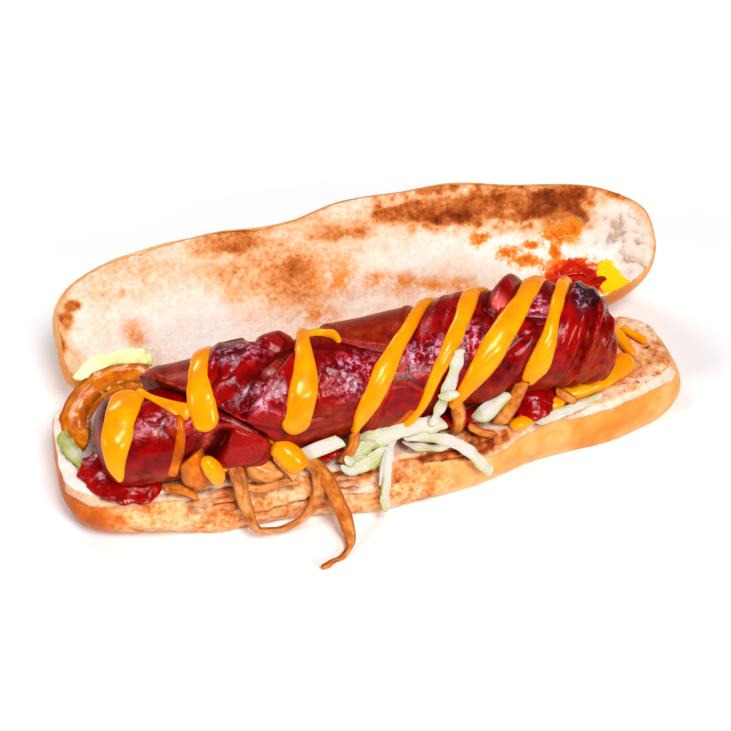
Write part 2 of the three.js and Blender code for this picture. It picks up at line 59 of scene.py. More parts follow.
# Each piece of sausage: its radius, its ends, and its middle line through a few stations
SAUSAGE = dict(radius=16.3, slim=0.08, start=-77.0, end=69.5,
               x=np.array([-90, -60, -30, -5, 38, 80.0]),
               y=np.array([-19.5, -21.5, -21.3, -18.6, -13.9, -16.5]),
               z=np.array([31, 32.5, 34.6, 34.2, 34.5, 33.5]))
END = dict(radius=13.4, slim=0.0, start=-88.5, end=-37.0,
           x=np.array([-95, -65, -30.0]), y=np.array([-25, -26, -28.5]), z=np.array([30.5, 30.5, 29.0]))
BREAK_NORMAL = np.array([0.6, 0.65, 0.47])
BREAK_NORMAL /= np.linalg.norm(BREAK_NORMAL)
BREAK_POINT = np.array([-58.0, -20.0, 33.0])
BLUNT = 9.0


def smooth(a, b, x):
    """Goes softly from 0 at a to 1 at b."""
    t = np.clip((np.asarray(x, float) - a) / (b - a), 0, 1)
    return t * t * (3 - 2 * t)


def window(x, a, b, c, d):
    """Rises from 0 to 1 between a and b, and falls back between c and d."""
    return smooth(a, b, x) * smooth(d, c, x)


def hump(x, width):
    """1 where x is 0, falling to nothing on both sides."""
    return np.exp(-((x / width) ** 2))


def signed_power(base, exponent):
    return np.sign(base) * np.abs(base) ** exponent


def unit(v):
    return v / np.maximum(np.linalg.norm(v, axis=-1, keepdims=True), 1e-9)


def hashed(i, j, k, seed):
    h = (i * 374761393 + j * 668265263 + k * 1440662683 + seed * 1274126177) & 0xFFFFFFFF
    h = ((h ^ (h >> 13)) * 1274126177) & 0xFFFFFFFF
    return ((h ^ (h >> 16)) & 0xFFFF) / 65535.0


def noise(p, size, seed):
    """Smooth lattice noise from -1 to 1 at the points p, with cells of the given size."""
    q = np.asarray(p, float) / size
    base = np.floor(q).astype(np.int64)
    f = q - base
    f = f * f * (3 - 2 * f)
    total = np.zeros(len(q))
    for dx in (0, 1):
        wx = f[:, 0] if dx else 1 - f[:, 0]
        for dy in (0, 1):
            wy = f[:, 1] if dy else 1 - f[:, 1]
            for dz in (0, 1):
                wz = f[:, 2] if dz else 1 - f[:, 2]
                total += wx * wy * wz * hashed(base[:, 0] + dx, base[:, 1] + dy, base[:, 2] + dz, seed)
    return total * 2 - 1


def fbm(p, size, octaves, seed):
    """Noise in layers, each half as large as the one before."""
    return sum(noise(p, size / 2**o, seed + 17 * o) * 0.55**o for o in range(octaves))


# Meshes


def make_object(name, verts, faces, smooth_shade=True):
    mesh = bpy.data.meshes.new(name)
    mesh.from_pydata((np.asarray(verts) * MM).tolist(), [], faces)
    mesh.update()
    obj = bpy.data.objects.new(name, mesh)
    bpy.context.scene.collection.objects.link(obj)
    if smooth_shade:
        mesh.polygons.foreach_set("use_smooth", [True] * len(mesh.polygons))
    return obj


def skin(rings):
    """Points and faces of one closed body from its rings of points, with a centre point at each end."""
    rings = np.asarray(rings, float)
    count, sides, _ = rings.shape
    verts = np.concatenate([rings.reshape(-1, 3), rings[0].mean(0)[None], rings[-1].mean(0)[None]])
    faces = []
    for r in range(count - 1):
        for i in range(sides):
            a, b = r * sides + i, r * sides + (i + 1) % sides
            faces.append((a, b, b + sides, a + sides))
    low, high, last = count * sides, count * sides + 1, (count - 1) * sides
    for i in range(sides):
        j = (i + 1) % sides
        faces.append((j, i, low))
        faces.append((last + i, last + j, high))
    return verts, faces


def fix_normals(obj):
    bm = bmesh.new()
    bm.from_mesh(obj.data)
    bmesh.ops.recalc_face_normals(bm, faces=bm.faces)
    bm.to_mesh(obj.data)
    bm.free()
    return obj


def cut_off(obj, point, normal):
    """Takes away what lies past a plane and closes the cut."""
    cut = bmesh.new()
    cut.from_mesh(obj.data)
    bmesh.ops.bisect_plane(cut, geom=cut.verts[:] + cut.edges[:] + cut.faces[:],
                           plane_co=np.asarray(point) * MM, plane_no=normal, clear_outer=True)
    bmesh.ops.holes_fill(cut, edges=[e for e in cut.edges if e.is_boundary])
    cut.to_mesh(obj.data)
    cut.free()
    return fix_normals(obj)


def applied(obj):
    """Replaces an object's mesh with what its modifiers make of it."""
    graph = bpy.context.evaluated_depsgraph_get()
    made = bpy.data.meshes.new_from_object(obj.evaluated_get(graph))
    obj.modifiers.clear()
    old, obj.data = obj.data, made
    made.name = old.name + "_made"
    bpy.data.meshes.remove(old)
    return obj


def remeshed(obj, voxel):
    mod = obj.modifiers.new("voxels", "REMESH")
    mod.mode = "VOXEL"
    mod.voxel_size = voxel * MM
    mod.use_smooth_shade = True
    return applied(obj)


def relaxed(obj, rounds, factor):
    mod = obj.modifiers.new("relax", "SMOOTH")
    mod.factor = factor
    mod.iterations = rounds
    return applied(obj)


def points_of(obj):
    mesh = obj.data
    co = np.empty(len(mesh.vertices) * 3)
    mesh.vertices.foreach_get("co", co)
    normals = np.empty(len(mesh.vertices) * 3)
    mesh.vertex_normals.foreach_get("vector", normals)
    return co.reshape(-1, 3) / MM, normals.reshape(-1, 3)


def set_points(obj, p):
    obj.data.vertices.foreach_set("co", (np.asarray(p) * MM).ravel())
    obj.data.update()


def set_mask(obj, name, values):
    layer = obj.data.attributes.new(name, "FLOAT", "POINT")
    layer.data.foreach_set("value", np.asarray(values, np.float32))


def set_masks(obj, masks):
    for name, values in masks.items():
        set_mask(obj, name, values)


def joined(parts, name):
    """One object from several (points, faces) bodies."""
    verts, faces, first = [], [], 0
    for v, f in parts:
        verts.append(v)
        faces += [tuple(i + first for i in face) for face in f]
        first += len(v)
    return make_object(name, np.concatenate(verts), faces)


def merged(obj, other):
    """Adds another object's mesh, with its masks, to an object."""
    both = [obj, other]
    with bpy.context.temp_override(active_object=obj, object=obj, selected_editable_objects=both,
                                   selected_objects=both):
        bpy.ops.object.join()
    return obj


# Node materials


def rgb(r, g, b):
    """A colour as seen, 0 to 255, as linear light."""
    return tuple(((c / 255 + 0.055) / 1.055) ** 2.4 if c > 10 else c / 3294.6 for c in (r, g, b)) + (1.0,)


class Look:
    """A node material: each method adds one node and returns its output."""

    def __init__(self, name, rough, **settings):
        self.mat = bpy.data.materials.new(name)
        self.mat.use_nodes = True
        self.tree = self.mat.node_tree
        self.shader = self.tree.nodes["Principled BSDF"]
        self.shader.inputs["Roughness"].default_value = rough
        for key, value in settings.items():
            self.shader.inputs[key.replace("_", " ")].default_value = value
        self.place = self.add("ShaderNodeTexCoord").outputs["Object"]

    def add(self, kind, **props):
        node = self.tree.nodes.new(kind)
        for key, value in props.items():
            setattr(node, key, value)
        return node

    def put(self, socket, value):
        """Links a node's output to a socket, or sets the socket: three numbers are a colour as seen."""
        if isinstance(value, bpy.types.NodeSocket):
            self.tree.links.new(value, socket)
        else:
            socket.default_value = rgb(*value) if isinstance(value, tuple) and len(value) == 3 else value

    def noise(self, size, detail, rough=0.55, where=None):
        node = self.add("ShaderNodeTexNoise")
        self.put(node.inputs["Vector"], where or self.place)
        node.inputs["Scale"].default_value = 1000.0 / size
        node.inputs["Detail"].default_value = detail
        node.inputs["Roughness"].default_value = rough
        return node.outputs["Fac"]

    def cells(self, size):
        node = self.add("ShaderNodeTexVoronoi", feature="F1")
        self.put(node.inputs["Vector"], self.place)
        node.inputs["Scale"].default_value = 1000.0 / size
        return node.outputs["Distance"]

    def mask(self, name):
        return self.add("ShaderNodeAttribute", attribute_name=name).outputs["Fac"]

    def math(self, kind, a, b, clamp=False):
        node = self.add("ShaderNodeMath", operation=kind, use_clamp=clamp)
        self.put(node.inputs[0], a)
        self.put(node.inputs[1], b)
        return node.outputs[0]

    def times(self, a, b):
        return self.math("MULTIPLY", a, b)

    def plus(self, a, b, clamp=False):
        return self.math("ADD", a, b, clamp)

    def blend(self, *parts):
        """The sum of several values, each times its share."""
        total = self.times(*parts[0])
        for value, share in parts[1:]:
            total = self.plus(total, self.times(value, share))
        return total

    def span(self, value, low, high, to_low=0.0, to_high=1.0):
        node = self.add("ShaderNodeMapRange", interpolation_type="SMOOTHSTEP")
        for socket, v in zip(node.inputs, (value, low, high, to_low, to_high)):
            self.put(socket, v)
        return node.outputs["Result"]

    def ramp(self, value, *stops):
        node = self.add("ShaderNodeValToRGB")
        line = node.color_ramp.elements
        while len(line) < len(stops):
            line.new(0.5)
        for item, (at, colour) in zip(line, stops):
            item.position = at
            item.color = rgb(*colour) if len(colour) == 3 else colour
        self.put(node.inputs["Fac"], value)
        return node.outputs["Color"]

    def mix(self, share, a, b):
        node = self.add("ShaderNodeMix", data_type="RGBA")
        self.put(node.inputs["Factor"], share)
        self.put(node.inputs[6], a)
        self.put(node.inputs[7], b)
        return node.outputs[2]

    def colour(self, value):
        self.put(self.shader.inputs["Base Color"], value)

    def rough(self, value):
        self.put(self.shader.inputs["Roughness"], value)

    def bump(self, height, depth, strength):
        node = self.add("ShaderNodeBump")
        node.inputs["Strength"].default_value = strength
        node.inputs["Distance"].default_value = depth * MM
        self.put(node.inputs["Height"], height)
        self.put(self.shader.inputs["Normal"], node.outputs["Normal"])

    def wear(self, *objects):
        for obj in objects:
            obj.data.materials.clear()
            obj.data.materials.append(self.mat)


# The roll


def face_outline(half, count):
    """Points of a cut face's rim at even distances: along the roll, and across from the fold."""
    turn = np.linspace(0, 2 * np.pi, 1440, endpoint=False)
    right = np.cos(turn) > 0
    at_fold = np.where(right, half["fold_right"], half["fold_left"])
    at_rim = np.where(right, half["right"], half["left"])
    corner = np.where(np.sin(turn) < 0, at_fold, at_rim)
    along = signed_power(np.cos(turn), 2 / corner)
    across = signed_power(np.sin(turn), 2 / corner)
    x = half["middle"] + half["length"] / 2 * along
    narrowing = 1 - half["taper"] * smooth(half["taper_from"], half["taper_to"], x)
    uneven = 0.9 * np.sin(x / 15 + 1 - half["side"]) + 0.6 * np.sin(x / 6.5 + 2 * half["side"])
    v = half["width"] / 2 * (1 + across) * narrowing + np.where(across > 0, uneven * across, 0)
    p = np.stack([x, v], 1)
    loop = np.vstack([p, p[:1]])
    run = np.concatenate([[0], np.cumsum(np.linalg.norm(np.diff(loop, axis=0), axis=1))])
    at = np.linspace(0, run[-1], count, endpoint=False)
    return np.stack([np.interp(at, run, loop[:, 0]), np.interp(at, run, loop[:, 1])], 1)


def place(half, x, v, w):
    """Points from along the roll, across a half's cut face from the fold, and depth below that face."""
    c, s = math.cos(half["lift"]), math.sin(half["lift"])
    across = half["side"] * v
    return np.stack([x, HINGE_Y + across * c + w * s, FACE_Z + v * s - w * c], -1)


def half_roll(half):
    """One half of the roll: its flat cut face, and the crust under it in rings."""
    count = 260
    outline = face_outline(half, count)
    reach = half["length"] / 2 - half["width"] / 2
    spine = np.stack([np.clip(outline[:, 0], half["middle"] - reach, half["middle"] + reach),
                      np.full(count, half["width"] / 2)], 1)
    rings = []
    for share in (0.06, 0.45, 0.85):
        q = spine + (outline - spine) * share
        rings.append(place(half, q[:, 0], q[:, 1], 0.0))
    for degrees in np.concatenate([[0], np.arange(6, 79, 5)]):
        turn = math.radians(degrees)
        depth = half["thick"] * math.sin(turn)
        swell = math.sin(math.pi * min(depth / half["depth"], 1))
        away = outline - spine
        radius = np.linalg.norm(away, axis=1)
        flatter = half["flatter"] * smooth(-15, 45, outline[:, 0])
        out = radius * math.cos(turn) ** half["square"] + half["bulge"] * (1 - flatter) * swell
        q = spine + unit(away) * out[:, None]
        rings.append(place(half, q[:, 0] + half["shift"] * swell, q[:, 1], depth))
    return skin(rings)


def roll_shape():
    obj = fix_normals(joined([half_roll(LOWER), half_roll(UPPER)], "roll"))
    return remeshed(cut_off(obj, (0, 0, 0.2), (0, 0, -1)), ROLL_VOXEL)


def upper_place(p):
    """Across the upper cut face from the fold, and depth below it."""
    c, s = math.cos(LIFT), math.sin(LIFT)
    dy, dz = p[:, 1] - HINGE_Y, p[:, 2] - FACE_Z
    return dy * c + dz * s, dy * s - dz * c


def spot(x, v, cx, cv, rx, rv, edge=0.45):
    """A soft round mark: 1 in its middle, 0 outside."""
    return smooth(1 + edge, 1 - edge, np.hypot((x - cx) / rx, (v - cv) / rv))


def spots(x, v, marks, edge):
    """Several soft round marks as one."""
    return np.maximum.reduce([spot(x, v, *mark, edge) for mark in marks])


def face_margin(half, x, v):
    """How far in from the end of a cut face a place lies, from its length and its rounding."""
    reach = half["length"] / 2 * (1 - 0.28 * np.abs(2 * v / half["width"] - 0.9) ** 2.4)
    return np.maximum(reach - np.abs(x - half["middle"]), 0)


# Marks on the upper cut face, by x and distance from the fold: the dark band's two edges, then round
# marks as centre, half length and half width, and clouds as strength and the same with a soft edge
BAND_TOP = np.array([(4, 42.6), (11, 44.8), (30, 45.0), (52, 43.8), (66, 43.4), (72, 44.6), (78, 43.6),
                     (82, 40), (86, 35)])
BAND_LOW = np.array([(4, 42.2), (12, 40), (18, 38.2), (27, 36.4), (40, 34.2), (53, 33.2), (63, 31.4),
                     (69, 27.6), (74, 25.4), (80, 28.6), (86, 32)])
SCORCHES = [(-94, 16, 2.4, 5), (-91, 22.5, 2.6, 4), (-75, 28.6, 4.5, 1.8), (-88.5, 27, 3, 2.5)]
STAINS = [(42.8, 29.6, 4.0, 2.6), (68.5, 26.6, 6.6, 3.8), (66.2, 21.0, 2.4, 4.0), (50.8, 22.6, 5.0, 3.0),
          (58.0, 24.6, 3.6, 1.8), (56.6, 19.2, 6.4, 2.4), (73.5, 28, 3.6, 3.4), (65, 17.5, 4, 2)]
# BLUSHES: orange grease with painted shade on the face beside the sausage
BLUSHES = [(-5.5, 23.5, 6.0, 4.4), (6.0, 20.6, 4.0, 3.0), (15, 18.6, 7, 3.4), (23.5, 16, 6, 3.0),
           (32, 13.6, 5, 3.0), (-14, 12, 6, 2.4), (-71, 15.5, 3.2, 3.6)]
YELLOWS = [(81.6, 10.4, 4.4, 4.6), (84.4, 5, 4.6, 6), (84, -1, 4, 5)]
HOLLOWS = [(87, 27, 9.5, 6.0), (92.5, 17, 5.5, 10)]
TOAST_CLOUDS = [(0.32, -28, 27, 24, 11, 0.8), (0.16, -72, 34, 14, 10, 0.8), (0.1, 6, 33, 16, 7, 0.9)]
BAND_CLOUDS = [(0.12, 75, 36, 12, 9, 0.6), (0.08, 22, 42, 16, 4, 0.7)]
PALE_CLOUDS = [(0.16, -54, 16, 22, 12, 0.8), (0.12, 26, 27, 22, 5, 0.8), (0.12, 82, 20, 10, 12, 0.8)]


def clouds(x, v, marks):
    """Several soft round marks added up, each with its own strength."""
    return sum(share * spot(x, v, *mark) for share, *mark in marks)


def upper_toast(p, x, v, w, upper, ragged, fine):
    """Toast on the upper face: a dark band under the rim, a tan streak at its left, soft clouds elsewhere."""
    top, low = np.interp(x, *BAND_TOP.T), np.interp(x, *BAND_LOW.T)
    band = smooth(-2.0, 2.2, v - low + 1.6 * ragged) * smooth(1.8, -1.2, v - top + 1.0 * fbm(p, 5, 3, 9))
    band *= smooth(3, 13, x + 2 * ragged) * smooth(87, 77, x + 3.0 * ragged + 1.5 * fine)
    band *= 0.7 + 0.2 * fbm(p, 6, 3, 13) + clouds(x, v, BAND_CLOUDS)
    tan = smooth(31, 39, v + 2 * ragged) * window(x, -66, -40, 4, 16)
    tan *= 0.46 + 0.3 * fbm(p * [0.5, 1, 1], 8, 3, 12)
    veil = clouds(x, v, TOAST_CLOUDS) * (1 + 0.4 * fbm(p, 9, 3, 19)) + 0.14 + 0.08 * fbm(p, 16, 3, 15)
    veil = np.maximum(veil, 0.46 * smooth(8, 0, low - v) * window(x, 0, 14, 80, 90) * (1 + 0.6 * fine))
    veil = np.maximum(veil, 0.3 * smooth(38, 43, v) * (1 + 0.7 * fbm(p * [0.4, 1, 1], 7, 3, 29)))
    veil = np.maximum(veil, 0.4 * spot(x, v + ragged, 88, 37, 7, 4, 0.9)) - clouds(x, v, PALE_CLOUDS)
    edge = smooth(3.4, 0.6, w + 60 * (1 - upper) + face_margin(UPPER, x, v))
    veil += 0.22 * edge * smooth(-60, -90, x) + 0.26 * edge * smooth(60, 84, x)
    return np.maximum.reduce([band, tan, veil, spots(x, v + ragged, SCORCHES, 0.5) * (0.55 + 0.4 * ragged)])


def lower_toast(p, x, v, fine):
    low = 0.2 + 0.14 * fbm(p, 9, 3, 18) + 0.38 * window(x, 2, 12, 34, 47) * smooth(35, 41, v) * (0.8 + fine)
    return low + 0.2 * smooth(54, 74, x) * (1 + 0.8 * fine) - 0.3 * smooth(-70, -84, x)


def side_toast(p, x, w, fine):
    side = 0.3 + 0.34 * window(x, -70, -50, -8, 4) * (0.6 + 1.0 * fbm(p, 6, 3, 23))
    side += 0.5 * spot(x, w, 17, 1.4, 15, 3.2) * (1 + 0.8 * fine)
    return side + 0.34 * window(x, -60, -45, -8, 4) * smooth(2.2, 0.2, w) - 0.1 * smooth(45, 60, x)


def dress_roll(obj):
    p, n = points_of(obj)
    vu, wu = upper_place(p)
    upper = smooth(9.0, 12.0, p[:, 1])
    w = np.where(upper > 0.5, wu, FACE_Z - p[:, 2])
    v = np.where(upper > 0.5, vu, HINGE_Y - p[:, 1])
    x = p[:, 0]
    facing = np.where(upper > 0.5, n[:, 1] * -math.sin(LIFT) + n[:, 2] * math.cos(LIFT), n[:, 2])
    ragged = fbm(p, 7, 3, 3)
    fine = fbm(p, 2.4, 2, 5)
    crumb = smooth(0.35, 0.7, facing) * smooth(2.2, 0.9, w + 0.5 * ragged)

    # the torn band under the front edge of the lower half
    front = smooth(-0.15, -0.5, n[:, 1]) * (1 - upper)
    reach = 3.2 + 4.2 * window(x, -72, -50, -8, 8) + 2.0 * window(x, 5, 20, 34, 48) + 0.8 * smooth(55, 62, x)
    torn = front * smooth(reach + 1.6, reach - 1.2, w + 1.5 * fbm(p, 9, 2, 8)) * (1 - crumb)

    # a loose flap of bread in the middle of that band, with a gash under it
    flap_x, flap_w = (x + 36.5 + 0.5 * ragged) / 10.5, (w - 4.9 + 0.155 * (x + 39)) / 4.0
    flap_d = (flap_x**4 + flap_w**4) ** 0.25
    flap = front * smooth(1.08, 0.98, flap_d) * (1 - crumb)
    gash = front * window(flap_d, 0.98, 1.06, 1.2, 1.34) * smooth(0.1, 0.6, flap_w + 0.6 * flap_x)
    torn = torn * (1 - 0.85 * flap)

    # shallow relief: soft crumb, torn layers, the open pores at the right end and a gently uneven crust
    layers = np.sin((w * 2.6 + 1.6 * fbm(p * [0.35, 1, 1], 8, 3, 21)) * 1.1)
    crack = torn * smooth(-0.6, -0.95, layers) * smooth(-0.2, 0.4, noise(p, 9, 33))
    crack *= window(x, -80, -66, 50, 60)
    scab = 0.8 * front * spot(x, w, -62.5, 6.6, 5.5, 2.6, 0.7) * smooth(-0.2, 0.5, fine + 0.5 * ragged)
    mottled = front * window(x, -92, -78, 0, 22) * (1 - crumb)
    hollow = spots(x, v, HOLLOWS, 0.6) * upper * crumb
    pores = np.abs(fbm(p * [1, 0.7, 0.7], 4.6, 3, 44)) * 1.9
    outer = smooth(8, 16, w) * (1 - crumb) * (1 - torn)
    lip = upper * window(w, 0.5, 1.6, 1.8, 3.4)
    push = crumb * (0.45 * fbm(p, 14, 2, 1) + 0.28 * fine)
    push += torn * (0.55 * layers + 0.5 * fine + 0.4 * ragged) - 0.9 * crack
    push += flap * (0.3 + 1.2 * smooth(-0.8, 0.8, flap_w + 0.4 * flap_x) + 0.3 * fine) - 1.4 * gash
    push += (1 - crumb) * (1 - torn) * (0.45 * fbm(p, 26, 2, 2) + 0.3 * mottled * fbm(p, 5, 3, 25))
    push += hollow * (4.6 * np.minimum(pores, 0.6) - 2.8)
    push += outer * (0.5 * fbm(p, 34, 2, 52) + 0.22 * fbm(p * [0.5, 1, 1], 7, 3, 53))
    push += 0.5 * lip * (1 + noise(p, 12, 6))
    q = p + n * push[:, None]
    q[:, 2] += 2.6 * smooth(-56, -80, x) * smooth(13, 2, p[:, 2]) * smooth(0, -24, p[:, 1])
    q[:, 2] = np.maximum(q[:, 2], 0)
    set_points(obj, q)

    lower = np.where(torn > crumb, side_toast(p, x, w, fine), lower_toast(p, x, v, fine))
    toast = np.where(upper > 0.5, upper_toast(p, x, v, w, upper, ragged, fine), lower) - 0.2 * hollow
    grease = np.maximum(spot(x, v + 1.2 * ragged, 70, 12.0, 10.5, 5.6, 0.7),
                        spot(x, v + ragged, 78, 10.5, 6.5, 4.5, 0.7))
    yellow = np.maximum(spots(x, v + 0.8 * ragged, YELLOWS, 0.5) * upper,
                        spot(x, p[:, 1] + ragged, 83.5, 8.6, 5, 3.4, 0.5) * (1 - upper))
    specks = np.maximum(smooth(44, 66, x), window(x, 0, 10, 34, 48) * smooth(30, 36, v))
    golden = np.maximum(smooth(-66, -86, x), 0.35 * smooth(40, 70, x)) * (1 - upper) + 0.25 * upper
    masks = dict(crumb=crumb, torn=torn, mottled=mottled, golden=golden)
    masks["toast"] = np.clip(toast, 0, 1.2)
    masks["grease"] = grease * upper
    masks["yellow"] = yellow * crumb
    masks["stain"] = 0.85 * spots(x, v + 1.4 * ragged, STAINS, 0.9) * upper
    # blush: orange grease and painted shade beside the sausage
    masks["blush"] = spots(x, v + 1.8 * ragged, BLUSHES, 1.0) * upper
    # painted shade in the cracks of the torn band and the gash under the flap, with the dark scab on the
    # crust
    masks["crack"] = np.maximum.reduce([crack, gash, scab])
    # painted shade in the open pores: darker where they are deep
    masks["hollow"] = hollow * (0.35 + 0.65 * smooth(0.45, 0.05, pores))
    masks["specks"] = specks * (1 - upper) * crumb
    set_masks(obj, masks)


def bread_look():
    k = Look("bread", 0.75, Specular_IOR_Level=0.25)
    grain, soft, big = k.noise(1.5, 6, 0.65), k.noise(5.5, 5, 0.6), k.noise(24, 3)
    toast = k.plus(k.mask("toast"), k.times(k.plus(grain, -0.5), 0.62))
    toast = k.plus(toast, k.times(k.plus(soft, -0.5), 0.4), clamp=True)
    crumb = k.ramp(toast, (0.0, (248, 234, 224)), (0.2, (246, 216, 192)), (0.4, (242, 180, 130)),
                   (0.58, (214, 126, 62)), (0.78, (160, 74, 26)), (1.0, (96, 36, 8)))
    crust_tone = k.plus(k.blend((big, 0.6), (soft, 0.4)), k.times(k.mask("golden"), 0.3), clamp=True)
    crust = k.ramp(crust_tone, (0.25, (248, 208, 162)), (0.45, (246, 186, 122)), (0.62, (236, 152, 66)),
                   (0.85, (206, 102, 12)), (1.0, (170, 78, 6)))
    patchy = k.blend((soft, 0.55), (grain, 0.45))
    patches = k.ramp(patchy, (0.36, (246, 214, 182)), (0.46, (243, 190, 136)), (0.54, (230, 142, 72)),
                     (0.64, (178, 84, 22)))
    crust = k.mix(k.times(k.mask("mottled"), k.span(big, 0.1, 0.4)), crust, patches)
    inside = k.math("MAXIMUM", k.mask("crumb"), k.mask("torn"))
    inside = k.span(k.plus(inside, k.times(k.plus(grain, -0.5), 0.7)), 0.25, 0.65)
    tint = k.mix(inside, crust, crumb)
    # painted shade in the open pores at the right end
    tint = k.mix(k.times(k.mask("hollow"), 0.85), tint, (190, 154, 124))
    # dark brown painted shade in the cracks and under the flap, and the scab
    tint = k.mix(k.times(k.mask("crack"), 0.75), tint, (136, 62, 16))
    # the blush: orange grease and painted shade beside the sausage, in broken patches
    broken_up = k.span(patchy, 0.34, 0.56)
    tint = k.mix(k.times(k.mask("blush"), broken_up), tint, (236, 136, 16))
    rough_edge = k.plus(k.plus(soft, -0.5), k.times(k.plus(grain, -0.5), 1.5))
    mottled_stain = k.plus(k.mask("stain"), k.times(rough_edge, 0.8))
    orange = k.ramp(mottled_stain, (0.25, (252, 210, 150)), (0.55, (240, 150, 40)), (1.0, (214, 98, 6)))
    red = k.ramp(k.plus(k.mask("grease"), k.times(rough_edge, 0.5)), (0.2, (250, 180, 96)),
                 (0.5, (234, 98, 6)), (0.85, (196, 30, 2)))
    for name, shade, low, high in (("stain", orange, 0.2, 0.8), ("grease", red, 0.2, 0.6),
                                   ("yellow", (255, 204, 4), 0.3, 0.6)):
        share = k.span(k.plus(k.mask(name), rough_edge), low, high)
        tint = k.mix(k.times(share, k.span(k.mask(name), 0.02, 0.2)), tint, shade)
    crumbs = k.times(k.span(grain, 0.53, 0.64), k.span(k.noise(3.6, 4, 0.7), 0.46, 0.6))
    crumbs = k.times(crumbs, k.plus(k.times(k.mask("specks"), 0.95), 0.06))
    k.colour(k.mix(crumbs, tint, (142, 72, 24)))
    open_crumb = k.times(inside, k.plus(grain, k.times(k.noise(0.7, 3), 0.6)))
    wrinkle = k.times(k.math("SUBTRACT", 1.0, inside), k.noise(3.2, 3))
    k.bump(k.plus(open_crumb, k.times(wrinkle, 0.35)), 0.9, 0.7)
    k.rough(k.span(inside, 0, 1, 0.5, 0.9))
    return k


# The sausage


def spline(xs, ys, x):
    """A smooth curve through a few named stations."""
    slopes = np.gradient(ys, xs)
    i = np.clip(np.searchsorted(xs, x) - 1, 0, len(xs) - 2)
    h = xs[i + 1] - xs[i]
    t = (x - xs[i]) / h
    return ((2 * t**3 - 3 * t**2 + 1) * ys[i] + (t**3 - 2 * t**2 + t) * h * slopes[i]
            + (-2 * t**3 + 3 * t**2) * ys[i + 1] + (t**3 - t**2) * h * slopes[i + 1])


def section(body, x):
    """The middle and the radius of a round body at x."""
    x = np.asarray(x, float)
    slim = body["slim"] * (smooth(-45, -72, x) + smooth(42, 68, x))
    return spline(body["x"], body["y"], x), spline(body["x"], body["z"], x), body["radius"] * (1 - slim)


def on_body(body, x, degrees, height):
    """Points over a round body at x and an angle from the top to the open side, and the ways they face."""
    x, turn = np.broadcast_arrays(np.asarray(x, float), np.radians(degrees))
    cy, cz, r = section(body, x)
    r = r + height
    out = np.stack([np.zeros_like(x), -np.sin(turn), np.cos(turn)], -1)
    return np.stack([x, cy - r * np.sin(turn), cz + r * np.cos(turn)], -1), out


def unrolled(body, p):
    """Degrees round a body's middle line, and distance from it as a share of the radius."""
    cy, cz, r = section(body, p[:, 0])
    dy, dz = p[:, 1] - cy, p[:, 2] - cz
    return np.degrees(np.arctan2(-dy, dz)), np.hypot(dy, dz) / r


# Opened scores: from x, degrees to x, degrees, then how deep, how wide the slope is (minus: on the left)
# and how much flesh shows
CUTS = [
    (-28, -16, -42, 22, 3.4, 3.4, 0.7), (-42, 22, -51, 64, 3.6, 3.0, 0.3),
    (-34.5, 74, -22, 84, 1.4, 1.6, 0.3),
    (33, 50, 20, 104, 2.6, -1.8, 0.1), (16, 40, 3.5, 84, 1.6, 1.4, 0.1),
    (60.5, -10, 49.5, 96, 1.9, 4.2, 0.0), (66.4, -14, 57, 90, 1.6, 3.6, 0.0),
]
# Plates of skin between them: corners as x and degrees, then how high, how wide the edge is and how much
# flesh shows there
PLATES = [
    ([(-70, -60), (-46, -60), (-52, 16), (-60, 36), (-70, 12)], 0.5, 2.0, 0.0),
    ([(-52, -66), (-38, -60), (-31, -18), (-45.5, 36), (-57, 46), (-58, 10)], 2.0, 4.4, 0.0),
    ([(-28.5, -12), (-25, -12), (-29, 58), (-34, 84), (-49.5, 57), (-43, 26)], 1.7, 3.2, 0.35),
    ([(-24, -4), (-12, 20), (-4, 32), (-8, 60), (-14, 86), (-31, 92), (-31, 40)], 1.2, 5.0, 0.0),
    ([(-20, -70), (13, -70), (4, 6), (-3, 25), (-10.5, 13), (-17, -3)], 1.2, 0.9, 0.75),
    ([(17, -70), (33, -70), (22, 14), (13, 54), (2, 46), (9, -2)], 1.3, 3.6, 0.1),
    ([(-4, 56), (1.5, 58), (7, 74), (4, 120), (-12, 120), (-8, 80)], 1.2, 1.0, 0.9),
    ([(42, 36), (42.5, 52), (37, 84), (30, 120), (20, 120), (27, 76), (33.5, 52)], 1.3, 2.6, 0.0),
    ([(49, -60), (56, -50), (47, 28), (38.5, 22), (42.5, -10)], 0.9, 2.0, 0.1),
    ([(39.2, 27), (45.4, 38), (42, 53), (35.6, 43)], 0.6, 1.6, 0.1),
    ([(26, -40), (29, -12), (27, 14), (33, 22), (22, 62), (16, 56), (23, 10)], 0.9, 2.6, 0.0),
    ([(56, -60), (66, -50), (61, -8), (57, 4)], 0.6, 2.0, 0.0),
]
# The curled flap's corners, then the knob: its x and degrees, half length, half turn and height
FLAP = [(47, -58), (41, -58), (36, -36), (31.6, -12), (29.4, 6), (31.4, 17), (35.6, 14), (39.4, -4),
        (43.6, -32)]
NUB = (-33.0, -37.0, 4.6, 22.0, 2.4)


def inside(corners, x, a, r):
    """Distance out of a plate, in millimetres over the unrolled skin; below 0 within it."""
    c = np.array([(cx, math.radians(cd) * r) for cx, cd in corners])
    middle = c.mean(0)
    worst = np.full(len(x), -1e9)
    for i in range(len(c)):
        edge = unit(c[(i + 1) % len(c)] - c[i])
        normal = np.array([edge[1], -edge[0]])
        if (c[i] - middle) @ normal < 0:
            normal = -normal
        worst = np.maximum(worst, (x - c[i, 0]) * normal[0] + (a - c[i, 1]) * normal[1])
    return worst


